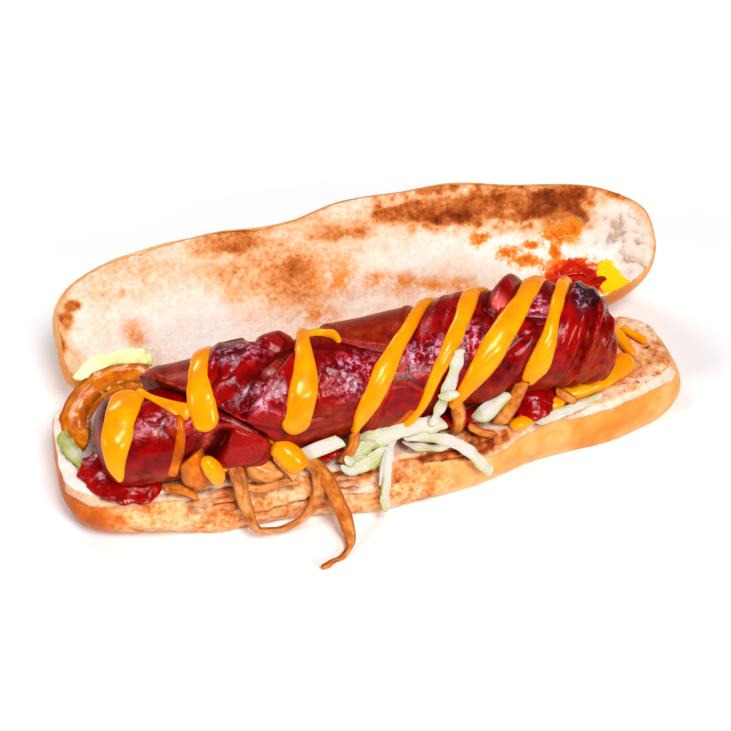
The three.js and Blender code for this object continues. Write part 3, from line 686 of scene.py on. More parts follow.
def relief(body, x, degrees, scores=True):
    """Height over the round body, how much cut flesh shows and where plates end; scores can be left out."""
    shape = x.shape
    x, degrees = np.ravel(x), np.ravel(degrees)
    height, flesh, seam = np.zeros_like(x), np.zeros_like(x), np.zeros_like(x)
    r = body["radius"]
    a = np.radians(degrees) * r
    for corners, high, edge, shows in (PLATES if body is SAUSAGE else END_PLATES):
        d = inside(corners, x, a, r)
        slope = min(edge, 1.4)
        height += high * smooth(0.0, -edge, d) + 0.25 * high * hump(d + edge + 0.9, 0.9)
        flesh = np.maximum(flesh, shows * window(d, -slope - 0.3, -slope + 0.3, 0.1, 0.5))
        seam = np.maximum(seam, window(d, -0.3, 0.25, 0.5, 1.7))
    if body is SAUSAGE and scores:
        knob_x, knob_turn, knob_long, knob_wide, high = NUB
        away = np.hypot((x - knob_x) / knob_long, (degrees - knob_turn) / knob_wide)
        height += high * smooth(1.2, 0.3, away)
        height -= 1.5 * window(away, 1.0, 1.3, 1.6, 2.0) * smooth(20, -10, degrees)
        d = inside(FLAP, x, a, r)
        curled = 4.2 * smooth(0.6, -3.8, d) ** 0.6
        height += curled * (0.6 + 0.4 * smooth(20, -20, degrees)) - 0.9 * hump(d - 0.8, 0.6)
    if scores:
        for x0, d0, x1, d1, deep, wide, shows in (CUTS if body is SAUSAGE else END_CUTS):
            start, stop = np.array([x0, math.radians(d0) * r]), np.array([x1, math.radians(d1) * r])
            run = stop - start
            length = np.hypot(*run)
            run = run / length
            side = np.array([run[1], -run[0]])
            side *= np.sign(side[0]) * np.sign(wide)
            wide = abs(wide)
            along = (x - start[0]) * run[0] + (a - start[1]) * run[1]
            off = (x - start[0]) * side[0] + (a - start[1]) * side[1] + 0.25 * np.sin(along * 0.7 + x0)
            ends = smooth(-1.5, 3.0, along) * smooth(length + 1.5, length - 3.0, along)
            groove = np.where(off > 0, np.clip(off / wide, 0, 1) * smooth(wide + 0.8, wide, off), 0)
            height -= ends * deep * groove
            flesh = np.maximum(flesh, shows * ends * smooth(0.1, 0.5, off) * smooth(wide, wide - 0.5, off))
    return height.reshape(shape), flesh.reshape(shape), seam.reshape(shape)


# The same for the broken end
END_CUTS = [(-56.5, 30, -66.5, 104, 5.4, 7.4, 0.9), (-86, 20, -84, 90, 0.8, 1.5, 0.0)]
END_PLATES = [
    ([(-56.5, 36), (-50, 40), (-38, 70), (-44, 92), (-56, 110), (-62, 92)], 0.6, 0.8, 0.9),
    ([(-68, 16), (-58, 20), (-57, 32), (-65, 56), (-69, 40)], 0.8, 1.6, 0.3),
]


def body_shape(body, name, keep):
    """One piece of the sausage, kept on one side of the slanted break."""
    start, end = body["start"], body["end"]
    cap = BLUNT * (1 - np.cos(np.linspace(0, np.pi / 2, 12)))
    xs = np.concatenate([start + cap, np.arange(start + BLUNT + 2, end - BLUNT - 1, 2.0), (end - cap)[::-1]])
    inset = np.minimum(np.minimum(xs - start, end - xs), BLUNT) / BLUNT
    share = np.maximum(np.sqrt(1 - (1 - inset) ** 2.6), 0.05)
    degrees = np.linspace(-180, 180, 72, endpoint=False)
    grid_x, grid_d = np.meshgrid(xs, degrees, indexing="ij")
    radius = section(body, grid_x)[2]
    rings, _ = on_body(body, grid_x, grid_d, radius * (share[:, None] - 1))
    obj = fix_normals(make_object(name, *skin(rings)))
    return remeshed(cut_off(obj, BREAK_POINT + BREAK_NORMAL * 0.25 * keep, BREAK_NORMAL * -keep),
                    SAUSAGE_VOXEL)


# Painted highlights on the skin, lilac-white sheen put into its colour: centre as x and degrees, half length,
# half turn
PAINTED_HIGHLIGHTS = [(-14, 40, 7.5, 19), (8.5, 38, 6.5, 15), (22.5, 34, 4.2, 16), (-41, 42, 6, 12), (-45, -12, 7.5, 15),
          (58.5, 2, 2, 16), (44.5, 12, 3.4, 11), (-34, 52, 3, 12)]
END_PAINTED_HIGHLIGHTS = [(-71, 28, 4.4, 13)]
# Wet places: how wet, then the same
SAUCY = [(0.6, -40, 46, 9, 30), (0.6, -14, 40, 7, 26), (0.5, 9, 38, 8, 22), (0.4, 24, 34, 6, 20),
         (0.4, -45, 0, 8, 30)]


def sausage_masks(p, x, degrees, seam):
    """Where the main piece is pale, charred, tan, pink or rosy, where painted shade darkens the gaps beside
    its plates and round the flap, and where it is wet with sauce.
    """
    r = SAUSAGE["radius"]
    a = np.radians(degrees) * r
    ruffled = x + 0.13 * degrees
    flap = inside(FLAP, x, a, r)
    slab, belly = (smooth(0.3, -0.8, inside(PLATES[i][0], x, a, r)) for i in (4, 5))
    pale = np.maximum.reduce([
        smooth(-56, -59, x) * smooth(60, 30, degrees),
        0.85 * slab,
        0.8 * belly * smooth(-20, -34, degrees),
        0.6 * spot(x, degrees, -22, 78, 7, 20, 0.7),
        0.9 * smooth(80, 100, degrees) * smooth(62, 44, x),
    ])
    char = np.maximum(smooth(55, 59, x + 0.05 * degrees) * smooth(34, 2, degrees + 2.4 * (x - 60)),
                      0.7 * spot(x, degrees, -47, -36, 7, 14, 0.5))
    tan = smooth(54, 62, x + 0.05 * degrees) * smooth(38, 80, degrees) * (0.8 + 0.3 * np.sin(ruffled * 1.2))
    knob_x, knob_turn, knob_long, knob_wide, _ = NUB
    pink = 0.7 * smooth(1.3, 0.7, np.hypot((x - knob_x) / knob_long, (degrees - knob_turn) / knob_wide))
    rose = smooth(-0.5, -1.5, flap) * smooth(-26, 10, degrees + 3.4 * (33 - x))
    # painted shade: dark bands in the gaps just outside the plates' edges and round the curled flap
    gap_shade = np.maximum.reduce([
        seam * smooth(-60, -54, x) * smooth(100, 80, degrees),
        window(flap, 0.1, 0.5, 0.8, 2.0),
        0.8 * window(flap, -1.2, -0.7, -0.2, 0.3) * smooth(40, -10, degrees),
    ])
    sauce = 0.5 + 0.6 * fbm(p, 10, 2, 51) + sum(share * spot(x, degrees, *mark) for share, *mark in SAUCY)
    return dict(pale=pale, char=char, tan=tan, sauce=sauce, pink=pink, rose=rose, gap_shade=gap_shade)


def end_masks(p, x, degrees, seam):
    """The same for the broken end."""
    char = 0.5 * smooth(-80, -86, x) * smooth(40, -10, degrees)
    tan = np.maximum(0.9 * spot(x, degrees, -69.5, 34, 4.5, 14, 0.8),
                     0.7 * smooth(84, 104, degrees) * smooth(-84, -78, x))
    pink = np.maximum(0.9 * spot(x, degrees, -61.5, 34, 4.0, 14, 0.7),
                      0.6 * smooth(-56, -52, x) * smooth(30, 46, degrees))
    sauce = 0.3 + 0.9 * spot(x, degrees, -71, 24, 8, 40, 0.6) + 0.7 * smooth(-60, -54, x)
    none = np.zeros(len(p))
    # painted shade in the gaps just outside the broken end's plates
    return dict(pale=none, char=char, tan=tan, sauce=sauce, pink=pink, rose=none, gap_shade=0.8 * seam)


def dress_body(obj, body):
    p, n = points_of(obj)
    x = p[:, 0]
    degrees, share = unrolled(body, p)
    height, flesh, seam = relief(body, x, degrees)
    broken = smooth(1.2, 0.3, np.abs((p - BREAK_POINT) @ BREAK_NORMAL))
    skinned = smooth(0.55, 0.9, share) * (1 - broken)
    out = np.stack([np.zeros(len(p)), -np.sin(np.radians(degrees)), np.cos(np.radians(degrees))], 1)
    q = p + out * (height * skinned)[:, None]
    uneven = 0.25 * fbm(p, 15, 2, 30) + 0.06 * fbm(p, 4.5, 2, 31) + 0.3 * broken * fbm(p, 3, 3, 35)
    if body is SAUSAGE:
        puckered = smooth(49.5, 60, x + 0.06 * degrees) * smooth(0.4, 0.8, share)
        fold = np.sin((x + 0.13 * degrees) * 1.25 + 1.3 * noise(p, 9, 4))
        fold = (0.62 - 0.3 * smooth(20, -20, degrees)) * fold
        uneven = uneven + puckered * (fold + 0.3 * fbm(p, 3.6, 2, 36))
    q += n * uneven[:, None]
    set_points(obj, q)
    masks = (sausage_masks if body is SAUSAGE else end_masks)(p, x, degrees, seam)
    # where a lilac-white highlight is painted into the skin's colour
    masks["painted_highlight"] = spots(x, degrees, PAINTED_HIGHLIGHTS if body is SAUSAGE else END_PAINTED_HIGHLIGHTS, 0.6) * skinned
    masks["flesh"] = np.maximum(flesh * skinned, broken * 0.55)
    # painted shade: the skin darkens where the scores cut deep
    masks["pit_shade"] = smooth(-0.7, -3.0, height) * skinned
    set_masks(obj, {name: np.clip(values, 0, 1) for name, values in masks.items()})


def sausage_look():
    k = Look("sausage", 0.2, Specular_IOR_Level=0.26)
    mottle, fine, big, grit = k.noise(3.4, 4), k.noise(0.8, 3, 0.6), k.noise(11, 3), k.noise(1.7, 4, 0.7)
    skin_tint = k.ramp(k.blend((mottle, 0.5), (big, 0.5)),
                       (0.3, (74, 2, 3)), (0.45, (128, 3, 3)), (0.58, (166, 7, 2)), (0.72, (156, 32, 3)))
    pale = k.ramp(mottle, (0.3, (122, 18, 3)), (0.55, (152, 38, 5)), (0.75, (170, 64, 16)))
    tint = k.mix(k.span(k.mask("pale"), 0.25, 0.75), skin_tint, pale)
    tint = k.mix(k.times(k.mask("tan"), k.span(mottle, 0.3, 0.6)), tint, (156, 56, 12))
    tint = k.mix(k.times(k.mask("char"), k.span(big, 0.2, 0.5)), tint, (62, 26, 34))
    rough_mask = k.times(k.plus(mottle, -0.5), 0.5)
    flesh = k.ramp(fine, (0.3, (140, 30, 18)), (0.55, (178, 62, 44)), (0.8, (212, 108, 86)))
    tint = k.mix(k.span(k.plus(k.mask("flesh"), rough_mask), 0.35, 0.85), tint, flesh)
    tint = k.mix(k.mask("pink"), tint, k.ramp(fine, (0.3, (146, 16, 14)), (0.7, (186, 40, 32))))
    # painted shade: dark maroon in the gaps beside the plates and round the flap
    tint = k.mix(k.times(k.mask("gap_shade"), 0.8), tint, (82, 3, 5))
    rose = k.mask("rose")
    tint = k.mix(rose, tint, k.ramp(rose, (0.15, (150, 8, 10)), (0.5, (190, 44, 42)), (0.95, (222, 102, 96))))
    # painted shade where the scores cut deep
    tint = k.mix(k.times(k.mask("pit_shade"), 0.85), tint, (66, 2, 3))
    # painted highlight: lilac-white sheen mixed into the colour in granular spots
    painted_sheen = k.times(k.span(k.blend((grit, 0.7), (mottle, 0.3)), 0.47, 0.62), k.mask("painted_highlight"))
    tint = k.mix(k.times(painted_sheen, 0.74), tint, (216, 172, 204))
    k.colour(tint)
    wet = k.span(k.plus(k.mask("sauce"), k.times(k.mask("pale"), -0.7)), 0.1, 0.8)
    k.rough(k.span(wet, 0, 1, 0.32, 0.1))
    k.bump(k.blend((mottle, 0.5), (grit, 0.3), (fine, 0.08)), 0.6, 0.6)
    return k


# Mustard and ketchup

# Mustard over the sausage: body, height, then marks as x, degrees and width
STRIPES = [
    (SAUSAGE, 2.0, [
        (-51.5, -66, 5.4), (-54.4, -30, 6), (-56.6, 2, 7.2), (-57.6, 30, 8), (-57.4, 50, 8.2),
        (-56.4, 66, 7.4)]),
    (SAUSAGE, 2.4, [(-24.8, -32, 3.6), (-26.3, 0, 5.4), (-28, 34, 7.4), (-30.8, 62, 8.9), (-33.4, 88, 9)]),
    (SAUSAGE, 1.6, [(-25.2, -26, 2.6), (-21, -24, 2.8), (-17.6, -14, 2.6), (-15.4, 2, 1.4)]),
    (SAUSAGE, 2.1, [
        (19.5, -68, 4.6), (13.5, -38, 4.6), (6.2, 1, 4.6), (-0.4, 26, 6.2), (-7.1, 56, 7.6), (-12, 84, 5.2),
        (-15.4, 108, 1.2)]),
    (SAUSAGE, 2.0, [
        (34, -66, 5.4), (29, -38, 5.4), (20.8, 14, 5.2), (15.1, 40, 5), (10.4, 62, 4.2), (6, 88, 3.2),
        (0, 112, 2.2)]),
    (SAUSAGE, 2.3, [
        (53, -66, 5.6), (48.6, -42, 6), (43.4, -8, 6.6), (36.4, 20, 7.2), (29.3, 46, 9), (23.9, 69, 7.6),
        (18.4, 90, 4.6), (15, 108, 3.4)]),
    (SAUSAGE, 1.9, [
        (58.4, -46, 3.6), (55, -20, 3.8), (48.4, 28, 4.2), (44.1, 60, 5.8), (40.9, 82, 6.4),
        (38.2, 100, 4.4)]),
    (END, 1.7, [
        (-76, -34, 10), (-78.4, -6, 9), (-80.2, 14, 8.4), (-82.4, 43, 8), (-83.6, 70, 5.8),
        (-83, 98, 1.8)]),
]
# Mustard lines in space: which way the surface under them faces, then points as x, y, z, width, height
MUSTARD_LINES = [
    ((0, -0.6, 0.8), [
        (-74.4, -19.6, 44, 2.6, 0.9), (-71.2, -23.7, 44.2, 2.2, 0.8), (-68, -26.8, 44.2, 3, 1),
        (-65, -29.4, 44, 4.2, 1.2), (-60.5, -32.4, 43.2, 6.4, 1.7)]),
    ((0, -0.3, 1), [
        (51, -24.4, 21.2, 3.4, 1.4), (54.6, -26.4, 21, 4.6, 1.8), (58.6, -25.8, 21.2, 5, 2.1),
        (63.4, -24.4, 21.6, 5.6, 2.4), (68, -22, 21.8, 6.4, 2.7), (72.4, -19.6, 22, 7.2, 3.6),
        (76.6, -16.8, 21.8, 6.4, 3.3)]),
    ((0, -0.2, 1), [
        (75.5, 2, 21.4, 2, 1), (77.2, -4, 20.8, 3.4, 1.4), (77.9, -9.4, 20.4, 3.2, 1.5),
        (79.2, -13.8, 20, 2.4, 1.2)]),
    ((0, -0.2, 1), [(79.2, -1, 20.6, 2, 1), (82.4, -5.2, 20.4, 2.8, 1.3), (85, -9, 20, 2.4, 1.1)]),
    ((0, 0, 1), [
        (32.6, -34.6, 19.8, 3.2, 1.4), (36.4, -34.4, 20.4, 4.8, 1.8), (40.6, -33.2, 20.2, 3.6, 1.3)]),
    ((0, 0, 1), [(45.2, -31.2, 20.6, 3.2, 1.4), (48, -29.6, 21.2, 5, 1.8), (51.4, -27.4, 21.4, 4, 1.6)]),
    ((0, -0.6, 0.8), [
        (-48.5, -33, 31, 1.6, 0.8), (-42, -34, 30.6, 2.4, 1.2), (-37.8, -36.2, 29.8, 3, 1.5)]),
    ((0, -0.75, 0.66), [
        (-39.4, -36.4, 30.2, 4.6, 2.2), (-36, -38.6, 28.6, 7, 2.9), (-33.2, -40.6, 26.2, 7.4, 3.1),
        (-31.2, -41.8, 24, 5.6, 2.6)]),
    ((0.1, -0.8, 0.6), [
        (-59.4, -41.4, 35, 3.4, 1.8), (-57.6, -43.2, 32, 5.4, 2.4), (-56.4, -43.4, 28.4, 5.2, 2.4),
        (-56.2, -42.4, 25.2, 3.4, 1.8)]),
    ((0.3, -0.8, 0.5), [
        (-57.4, -42.8, 31, 2.6, 1.4), (-55, -42.4, 29.6, 1.8, 1), (-52.8, -41.6, 28.6, 0.8, 0.6)]),
]


def eased(values, count, at_ends=0.0):
    """A smooth run through marks; at_ends draws its points together towards both ends."""
    values = np.asarray(values, float)
    u = np.linspace(0, 1, count)
    t = (u + at_ends * (0.5 - 0.5 * np.cos(np.pi * u) - u)) * (len(values) - 1)
    steps = np.arange(len(values), dtype=float)
    return np.stack([spline(steps, values[:, c], t) for c in range(values.shape[1])], 1)


def blunt_ends(share, start, stop, least):
    """How wide a strip is along its length, from 0 to 1, with rounded ends."""
    rise, fall = np.clip(share / start, 0, 1), np.clip((1 - share) / stop, 0, 1)
    return np.maximum(np.sqrt(1 - (1 - rise) ** 2) * np.sqrt(1 - (1 - fall) ** 2), least)


def run_share(points):
    """How far along a line each of its points is, from 0 to 1."""
    run = np.concatenate([[0], np.cumsum(np.linalg.norm(np.diff(points, axis=0), axis=1))])
    return run / run[-1]


def dome_of(turn, under, height):
    """Height around a bead's section: a dome, and a flatter underside."""
    rise = np.sin(turn)[None]
    return np.where(rise > 0, np.abs(rise) ** 0.8, -under * np.abs(rise)) * height[:, None]


def stripe(body, tall, marks, seed):
    """A bead of sauce along marks of x, degrees and width, wrapped over a round body."""
    count, sides = 84, 22
    path = eased(marks, count, 0.8)
    r = body["radius"]
    flat = np.stack([path[:, 0], np.radians(path[:, 1]) * r], 1)
    length = np.linalg.norm(np.diff(flat, axis=0), axis=1).sum()
    blunt = blunt_ends(run_share(flat), 0.5 * marks[0][2] / length, 0.5 * marks[-1][2] / length, 0.05)
    run = unit(np.gradient(flat, axis=0))
    side = np.stack([-run[:, 1], run[:, 0]], 1)
    wobble = 1 + 0.17 * noise(np.stack([path[:, 0], path[:, 1] / 6, np.full(count, seed * 3.7)], 1), 6, seed)
    turn = np.linspace(0, 2 * np.pi, sides, endpoint=False)
    s = np.cos(turn)[None] * (path[:, 2] / 2 * blunt * wobble)[:, None]
    x = path[:, 0, None] + side[:, 0, None] * s
    degrees = path[:, 1, None] + np.degrees(side[:, 1, None] * s / r)
    dome = dome_of(turn, 0.35, tall * np.minimum(blunt * 1.1, 1))
    under = relief(body, x, degrees, scores=False)[0]
    base = under.mean(1, keepdims=True) * 0.8 + under * 0.2
    base = np.stack([np.convolve(np.pad(c, 5, "edge"), np.ones(11) / 11, "valid") for c in base.T], 1)
    rings, _ = on_body(body, x, degrees, base + dome - 0.25)
    return skin(rings)


def line_of(marks, normal):
    """A bead of sauce along points of x, y, z, width and height, lying on a surface that faces the normal."""
    count, sides, ends = 44, 20, 0.14
    path = eased(marks, count, 0.8)
    along = unit(np.gradient(path[:, :3], axis=0))
    normal = unit(np.broadcast_to(np.asarray(normal, float), along.shape))
    side = unit(np.cross(along, normal))
    up = unit(np.cross(side, along))
    blunt = blunt_ends(run_share(path[:, :3]), ends, ends, 0.05)
    turn = np.linspace(0, 2 * np.pi, sides, endpoint=False)
    across = np.cos(turn)[None] * (path[:, 3] / 2 * blunt)[:, None]
    dome = dome_of(turn, 0.6, path[:, 4] * blunt)
    return skin(path[:, None, :3] + side[:, None] * across[..., None] + up[:, None] * dome[..., None])


# Thin mustard that runs down the sausage, in the same way
THIN_DRIPS = [
    (END, 0.9, [(-64, 12, 2), (-64.2, 36, 2.4), (-65.4, 62, 2.8), (-67.4, 90, 2.8), (-68.6, 108, 3.2)]),
    (SAUSAGE, 0.7, [(14.6, 92, 3), (12.6, 104, 5), (10.8, 116, 6)]),
    (SAUSAGE, 0.7, [(3, 92, 3.2), (-0.4, 104, 3.4), (-5, 112, 2.2)]),
]


def stripe_pieces(table, name, first_seed):
    made = []
    for i, (body, tall, marks) in enumerate(table):
        made.append(fix_normals(make_object(f"{name}_{i + 1}", *stripe(body, tall, marks, i + first_seed))))
    return made


def mustard_pieces():
    made = stripe_pieces(STRIPES, "mustard_stripe", 0)
    for i, (normal, marks) in enumerate(MUSTARD_LINES):
        made.append(fix_normals(make_object(f"mustard_line_{i + 1}", *line_of(marks, normal))))
    for obj in made:
        p, n = points_of(obj)
        set_points(obj, p + n * (0.26 * fbm(p, 5.5, 2, 61))[:, None])
    return made


# How each sauce runs from its dark places to its light ones
SAUCE_TONES = {
    "mustard": [(252, 138, 0), (254, 156, 0), (255, 174, 1)],
    "mustard_thin": [(150, 58, 2), (190, 86, 2), (226, 126, 4)],
    "ketchup": [(108, 1, 1), (156, 4, 2), (194, 22, 5)],
    "ketchup_thin": [(138, 6, 3), (186, 26, 4), (224, 80, 10)],
}


def mustard_look(name):
    k = Look(name, 0.22, Coat_Weight=0.12, Coat_Roughness=0.08, Specular_IOR_Level=0.35,
             Subsurface_Weight=0.25, Subsurface_Scale=0.002, Specular_Tint=(1.0, 0.86, 0.5, 1.0),
             Subsurface_Radius=(1.0, 0.6, 0.05))
    soft, fine = k.noise(7, 3), k.noise(1.2, 3)
    k.colour(k.ramp(k.blend((soft, 0.8), (fine, 0.2)), *zip((0.3, 0.5, 0.7), SAUCE_TONES[name])))
    k.bump(k.plus(soft, k.times(fine, 0.15)), 0.5, 0.3)
    return k


# Pools of ketchup as touching balls: x, y, z, radius, flattened to about a third
POOLS = {
    "ketchup_left": [
        (-93, -21, 19.6, 2.8), (-91.4, -26, 19.5, 3.6), (-89.2, -30.6, 19.4, 4), (-86, -34.2, 19.3, 4.2),
        (-81.6, -36.8, 19.3, 4.4), (-77, -37.6, 19.3, 3.6), (-73.4, -36.6, 19.5, 2.6),
        (-86, -30, 20.4, 4.6), (-80.4, -33, 20.6, 5), (-75, -34, 20.6, 4.2), (-90, -24, 20.6, 4),
        (-87, -22, 21.6, 3.6)],
    "ketchup_right": [
        (37.6, -30, 21.4, 3.8), (40.2, -32, 21.2, 4.2), (43.4, -30.4, 21.8, 4.4), (46.4, -28.4, 22, 3.6),
        (42.3, -28, 23.4, 4.6), (40.6, -26, 24.6, 4.2), (46, -25.4, 23.6, 4), (50, -24, 22.6, 3)],
    "ketchup_middle": [(-28, -36.8, 23.6, 3), (-24, -37.2, 24.2, 3.8), (-20.5, -36.8, 24.6, 3.2)],
    "ketchup_under": [
        (4, -32, 22, 3.4), (10, -32.4, 22.8, 4), (17, -31.6, 23.2, 4.6), (23, -30.6, 22.8, 4.2),
        (28, -30, 22, 3)],
}
# The smear on the upper cut face: along the roll, across from the fold, radius
SMEAR = [(60, 9, 2.6), (63.5, 11, 3.0), (67, 13.4, 3.0), (71, 14.2, 3.0), (75, 13, 2.8), (78.6, 9.8, 2.6),
         (70, 9, 4.4), (65, 8, 4.0), (75, 8, 3.4)]


def ball(centre, radius, squash):
    polar = np.linspace(0.15, np.pi - 0.15, 10)[:, None]
    turn = np.linspace(0, 2 * np.pi, 16, endpoint=False)[None]
    flat = np.sin(polar) * radius
    sides = np.broadcast_arrays(flat * np.cos(turn), flat * np.sin(turn), np.cos(polar) * squash * radius)
    return skin(np.stack(sides, -1) + np.asarray(centre))


def pool(name, balls, squash=0.34):
    obj = fix_normals(joined([ball(centre, radius, squash) for *centre, radius in balls], name))
    remeshed(obj, POOL_VOXEL)
    relaxed(obj, 24, 0.9)
    p, n = points_of(obj)
    q = p + n * (0.16 * fbm(p, 4.5, 2, 71) + 0.05 * fbm(p, 1.6, 2, 73))[:, None]
    q[:, :2] += np.stack([0.7 * fbm(p, 3.2, 3, 75), 0.7 * fbm(p, 3.2, 3, 77)], 1)
    set_points(obj, q)
    return obj


def ketchup_look(name):
    k = Look(name, 0.13, Specular_IOR_Level=0.45)
    grain, soft = k.noise(1.1, 4, 0.6), k.noise(5, 3)
    k.colour(k.ramp(k.blend((grain, 0.4), (soft, 0.6)), *zip((0.3, 0.5, 0.72), SAUCE_TONES[name])))
    k.bump(k.plus(grain, k.times(k.cells(1.3), 0.3)), 0.4, 0.4)
    return k


# Onion and lettuce


def ribbon(name, showing, thick, ruffle, cup, fray, twist, ridges, marks, seed):
    """A flat strip along points of x, y, z and width, with its broad side towards 'showing'."""
    marks = np.asarray(marks, float)
    sides, step = 32, 0.5
    length = np.linalg.norm(np.diff(marks[:, :3], axis=0), axis=1).sum()
    count = max(16, int(length / step))
    path = eased(marks, count)
    run = np.linspace(0, length, count)

    def waver(size, more_seed=0, across=0, up=0):
        lane = np.full((count, 2), 7.3 * seed) + [across, up]
        return noise(np.column_stack([run, lane]), size, seed + more_seed)

    along = unit(np.gradient(path[:, :3], axis=0))
    side = unit(np.cross(along, unit(np.broadcast_to(np.asarray(showing, float), along.shape))))
    up = unit(np.cross(side, along))
    turned = (twist * waver(9))[:, None]
    side, up = side * np.cos(turned) + up * np.sin(turned), up * np.cos(turned) - side * np.sin(turned)
    blunt = blunt_ends(run / length, 0.035, 0.035, 0.3)
    turn = np.linspace(0, 2 * np.pi, sides, endpoint=False)
    flat_cos, flat_sin = signed_power(np.cos(turn), 0.7), signed_power(np.sin(turn), 0.6)
    edges = [1 + fray * (0.6 * waver(1.8, part, part) + waver(5.5, part + 9, part)) for part in (0, 1)]
    sway = 2.2 * fray * waver(6.5, 3, up=5) * window(run, 0, 4, length - 4, length)
    path[:, :3] += side * sway[:, None]
    frayed = np.where(flat_cos > 0, edges[0][:, None], edges[1][:, None])
    half = path[:, 3, None] / 2 * blunt[:, None] * frayed
    across = flat_cos[None] * half
    phase = run[:, None] * 0.95 + 2.2 * waver(6, up=3)[:, None] + np.where(flat_cos > 0, 0.0, 2.3)[None]
    bend = ruffle * np.abs(flat_cos[None]) ** 1.5 * np.sin(phase)
    bend = bend + ridges * np.sin(flat_cos * 8 + seed)[None] * (flat_sin > 0)[None]
    dome = cup * (flat_cos[None] ** 2) * half
    lift = flat_sin[None] * thick / 2 * np.minimum(blunt * 1.2, 1)[:, None] + bend - dome
    slanted = 0.5 * across * (smooth(3, 0, run) + smooth(length - 3, length, run))[:, None]
    rings = path[:, None, :3] + side[:, None] * across[..., None]
    rings = rings + up[:, None] * lift[..., None] + along[:, None] * slanted[..., None]
    obj = fix_normals(make_object(name, *skin(rings)))
    around = np.concatenate([np.tile(flat_cos, count), [0, 0]])
    from_start = np.concatenate([np.repeat(run, sides), [0, length]]) + 31 * seed
    set_masks(obj, dict(along=from_start, across=around, edge=np.abs(around)))
    return obj


# The ways that a strip's broad side can face
FRONT, SLANT, UP = (0, -1, 0.15), (0, -0.7, 0.7), (0, 0, 1)


def arc(centre, radius, rise, start, stop, widths):
    turns = np.radians(np.linspace(start, stop, len(widths)))
    x, y, z = centre
    return [(x + radius * math.cos(t), y + radius * math.sin(t), z + rise * math.cos(t), w)
            for t, w in zip(turns, widths)]


# Strips: where the broad side faces, thickness, ruffle, cup, fray, twist, ridges, then x, y, z and width
ONIONS = {
    "onion_ring": ((-0.45, -0.2, 1), 1.3, 0.25, 0.16, 0.06, 0.1, 0.14,
                   arc((-80.9, -5, 24.4), 13.4, 4, 18, 226, [4, 6.5, 8, 8.8, 9.2, 9, 8.4, 6.5])),
    "onion_loop": (FRONT, 1.1, 0.15, 0.25, 0.1, 0.35, 0.1, [
        (-51.2, -39.8, 29.5, 3.6), (-50.2, -41.6, 24.4, 4.6), (-49, -44.2, 15.5, 4),
        (-46.9, -45.4, 7.4, 2.8), (-45, -45.8, 4.9, 2.2), (-38.5, -45.8, 4.4, 2.2),
        (-32.4, -45.8, 7.4, 2.8), (-28, -44.6, 14, 3.8), (-27.2, -42, 20.2, 3.8), (-30, -39.6, 24, 3)]),
    "onion_tail": (FRONT, 1.0, 0.2, 0.2, 0.14, 0.3, 0.12, [
        (-30.2, -38.8, 26, 3.4), (-26.6, -41.2, 22, 4.2), (-23.5, -44.8, 16.4, 4.6),
        (-21.3, -47.8, 10.4, 4.8), (-20.1, -51, 6, 4.2), (-20.2, -54, 2.4, 2.8), (-22.7, -57.2, 1.3, 1.6),
        (-26.6, -58.8, 1.3, 1.7), (-30, -60.6, 1.4, 2.6)]),
    "onion_strand": (SLANT, 1.3, 0.15, 0.2, 0.12, 0.3, 0.1, [
        (-14.8, -36.6, 30.4, 2.8), (-15.6, -38.2, 27.5, 3.4), (-17.6, -39.4, 24, 3.6),
        (-19.4, -39.6, 21.4, 3)]),
    "onion_slice": (SLANT, 1.6, 0.1, 0.3, 0.06, 0.1, 0.12, [
        (16.4, -31.6, 32.5, 3.2), (17, -33.6, 29, 4.4), (16.9, -34.9, 25, 4), (15.7, -35.4, 21.6, 3.2)]),
    "onion_strip": (SLANT, 1.8, 0.05, 0.12, 0.06, 0.1, 0.1, [
        (37, -31.7, 34.4, 3.8), (34.8, -32.6, 29.6, 4.4), (32.2, -33.2, 25, 5), (29.7, -34, 20.8, 5)]),
    "onion_petal": (FRONT, 2.0, 0.15, 0.45, 0.05, 0.1, 0.16, [
        (-62.6, -40.4, 35, 6), (-62, -41.8, 31, 8.6), (-61.2, -41.6, 26, 9), (-59.8, -39.4, 21, 7)]),
    "onion_chunk": (SLANT, 1.7, 0.25, 0.4, 0.08, 0.1, 0.16, [
        (-47.4, -38.8, 28, 5), (-43.6, -40.2, 25.4, 7.6), (-40, -40.6, 23.6, 7.2),
        (-36.6, -40, 22.2, 4.5)]),
    "onion_flake": (SLANT, 1.3, 0.2, 0.3, 0.1, 0.2, 0.1, [
        (-39.4, -38.4, 28.4, 3), (-35.4, -41.4, 25.4, 4.2), (-33.6, -42.8, 21.6, 3.2)]),
    "onion_shaving": (SLANT, 1.0, 0.3, 0.1, 0.2, 0.4, 0.08, [
        (-49.5, -41.2, 20.8, 2), (-45, -42.8, 20.3, 2.6), (-38, -43, 20.3, 2.4), (-33, -43, 20.4, 2)]),
    "onion_scrap": (SLANT, 1.0, 0.2, 0.2, 0.15, 0.3, 0.08, [
        (-71, -37.4, 20.4, 2.4), (-66.5, -39.2, 20.8, 3.4), (-62, -42, 19.4, 2.4)]),
    "onion_curl": (SLANT, 1.2, 0.2, 0.2, 0.1, 0.2, 0.08, [
        (48.6, -28.6, 25, 2.6), (51.4, -29.6, 23.6, 3.2), (54.6, -30.6, 21, 2.6)]),
    "onion_shred": (SLANT, 1.1, 0.3, 0.1, 0.2, 0.3, 0.08, [
        (19.5, -35.6, 23.6, 2.2), (23.4, -37, 21.4, 2.8), (28, -37.4, 20.4, 2.2)]),
}
INNER_RING = ((-0.5, -0.3, 1), 1.0, 0.2, 0.2, 0.1, 0.15, 0.1,
              arc((-80.6, -5.2, 23), 10.4, 3.2, 24, 205, [2.6, 4, 5, 5.6, 5.8, 5.4, 4]))


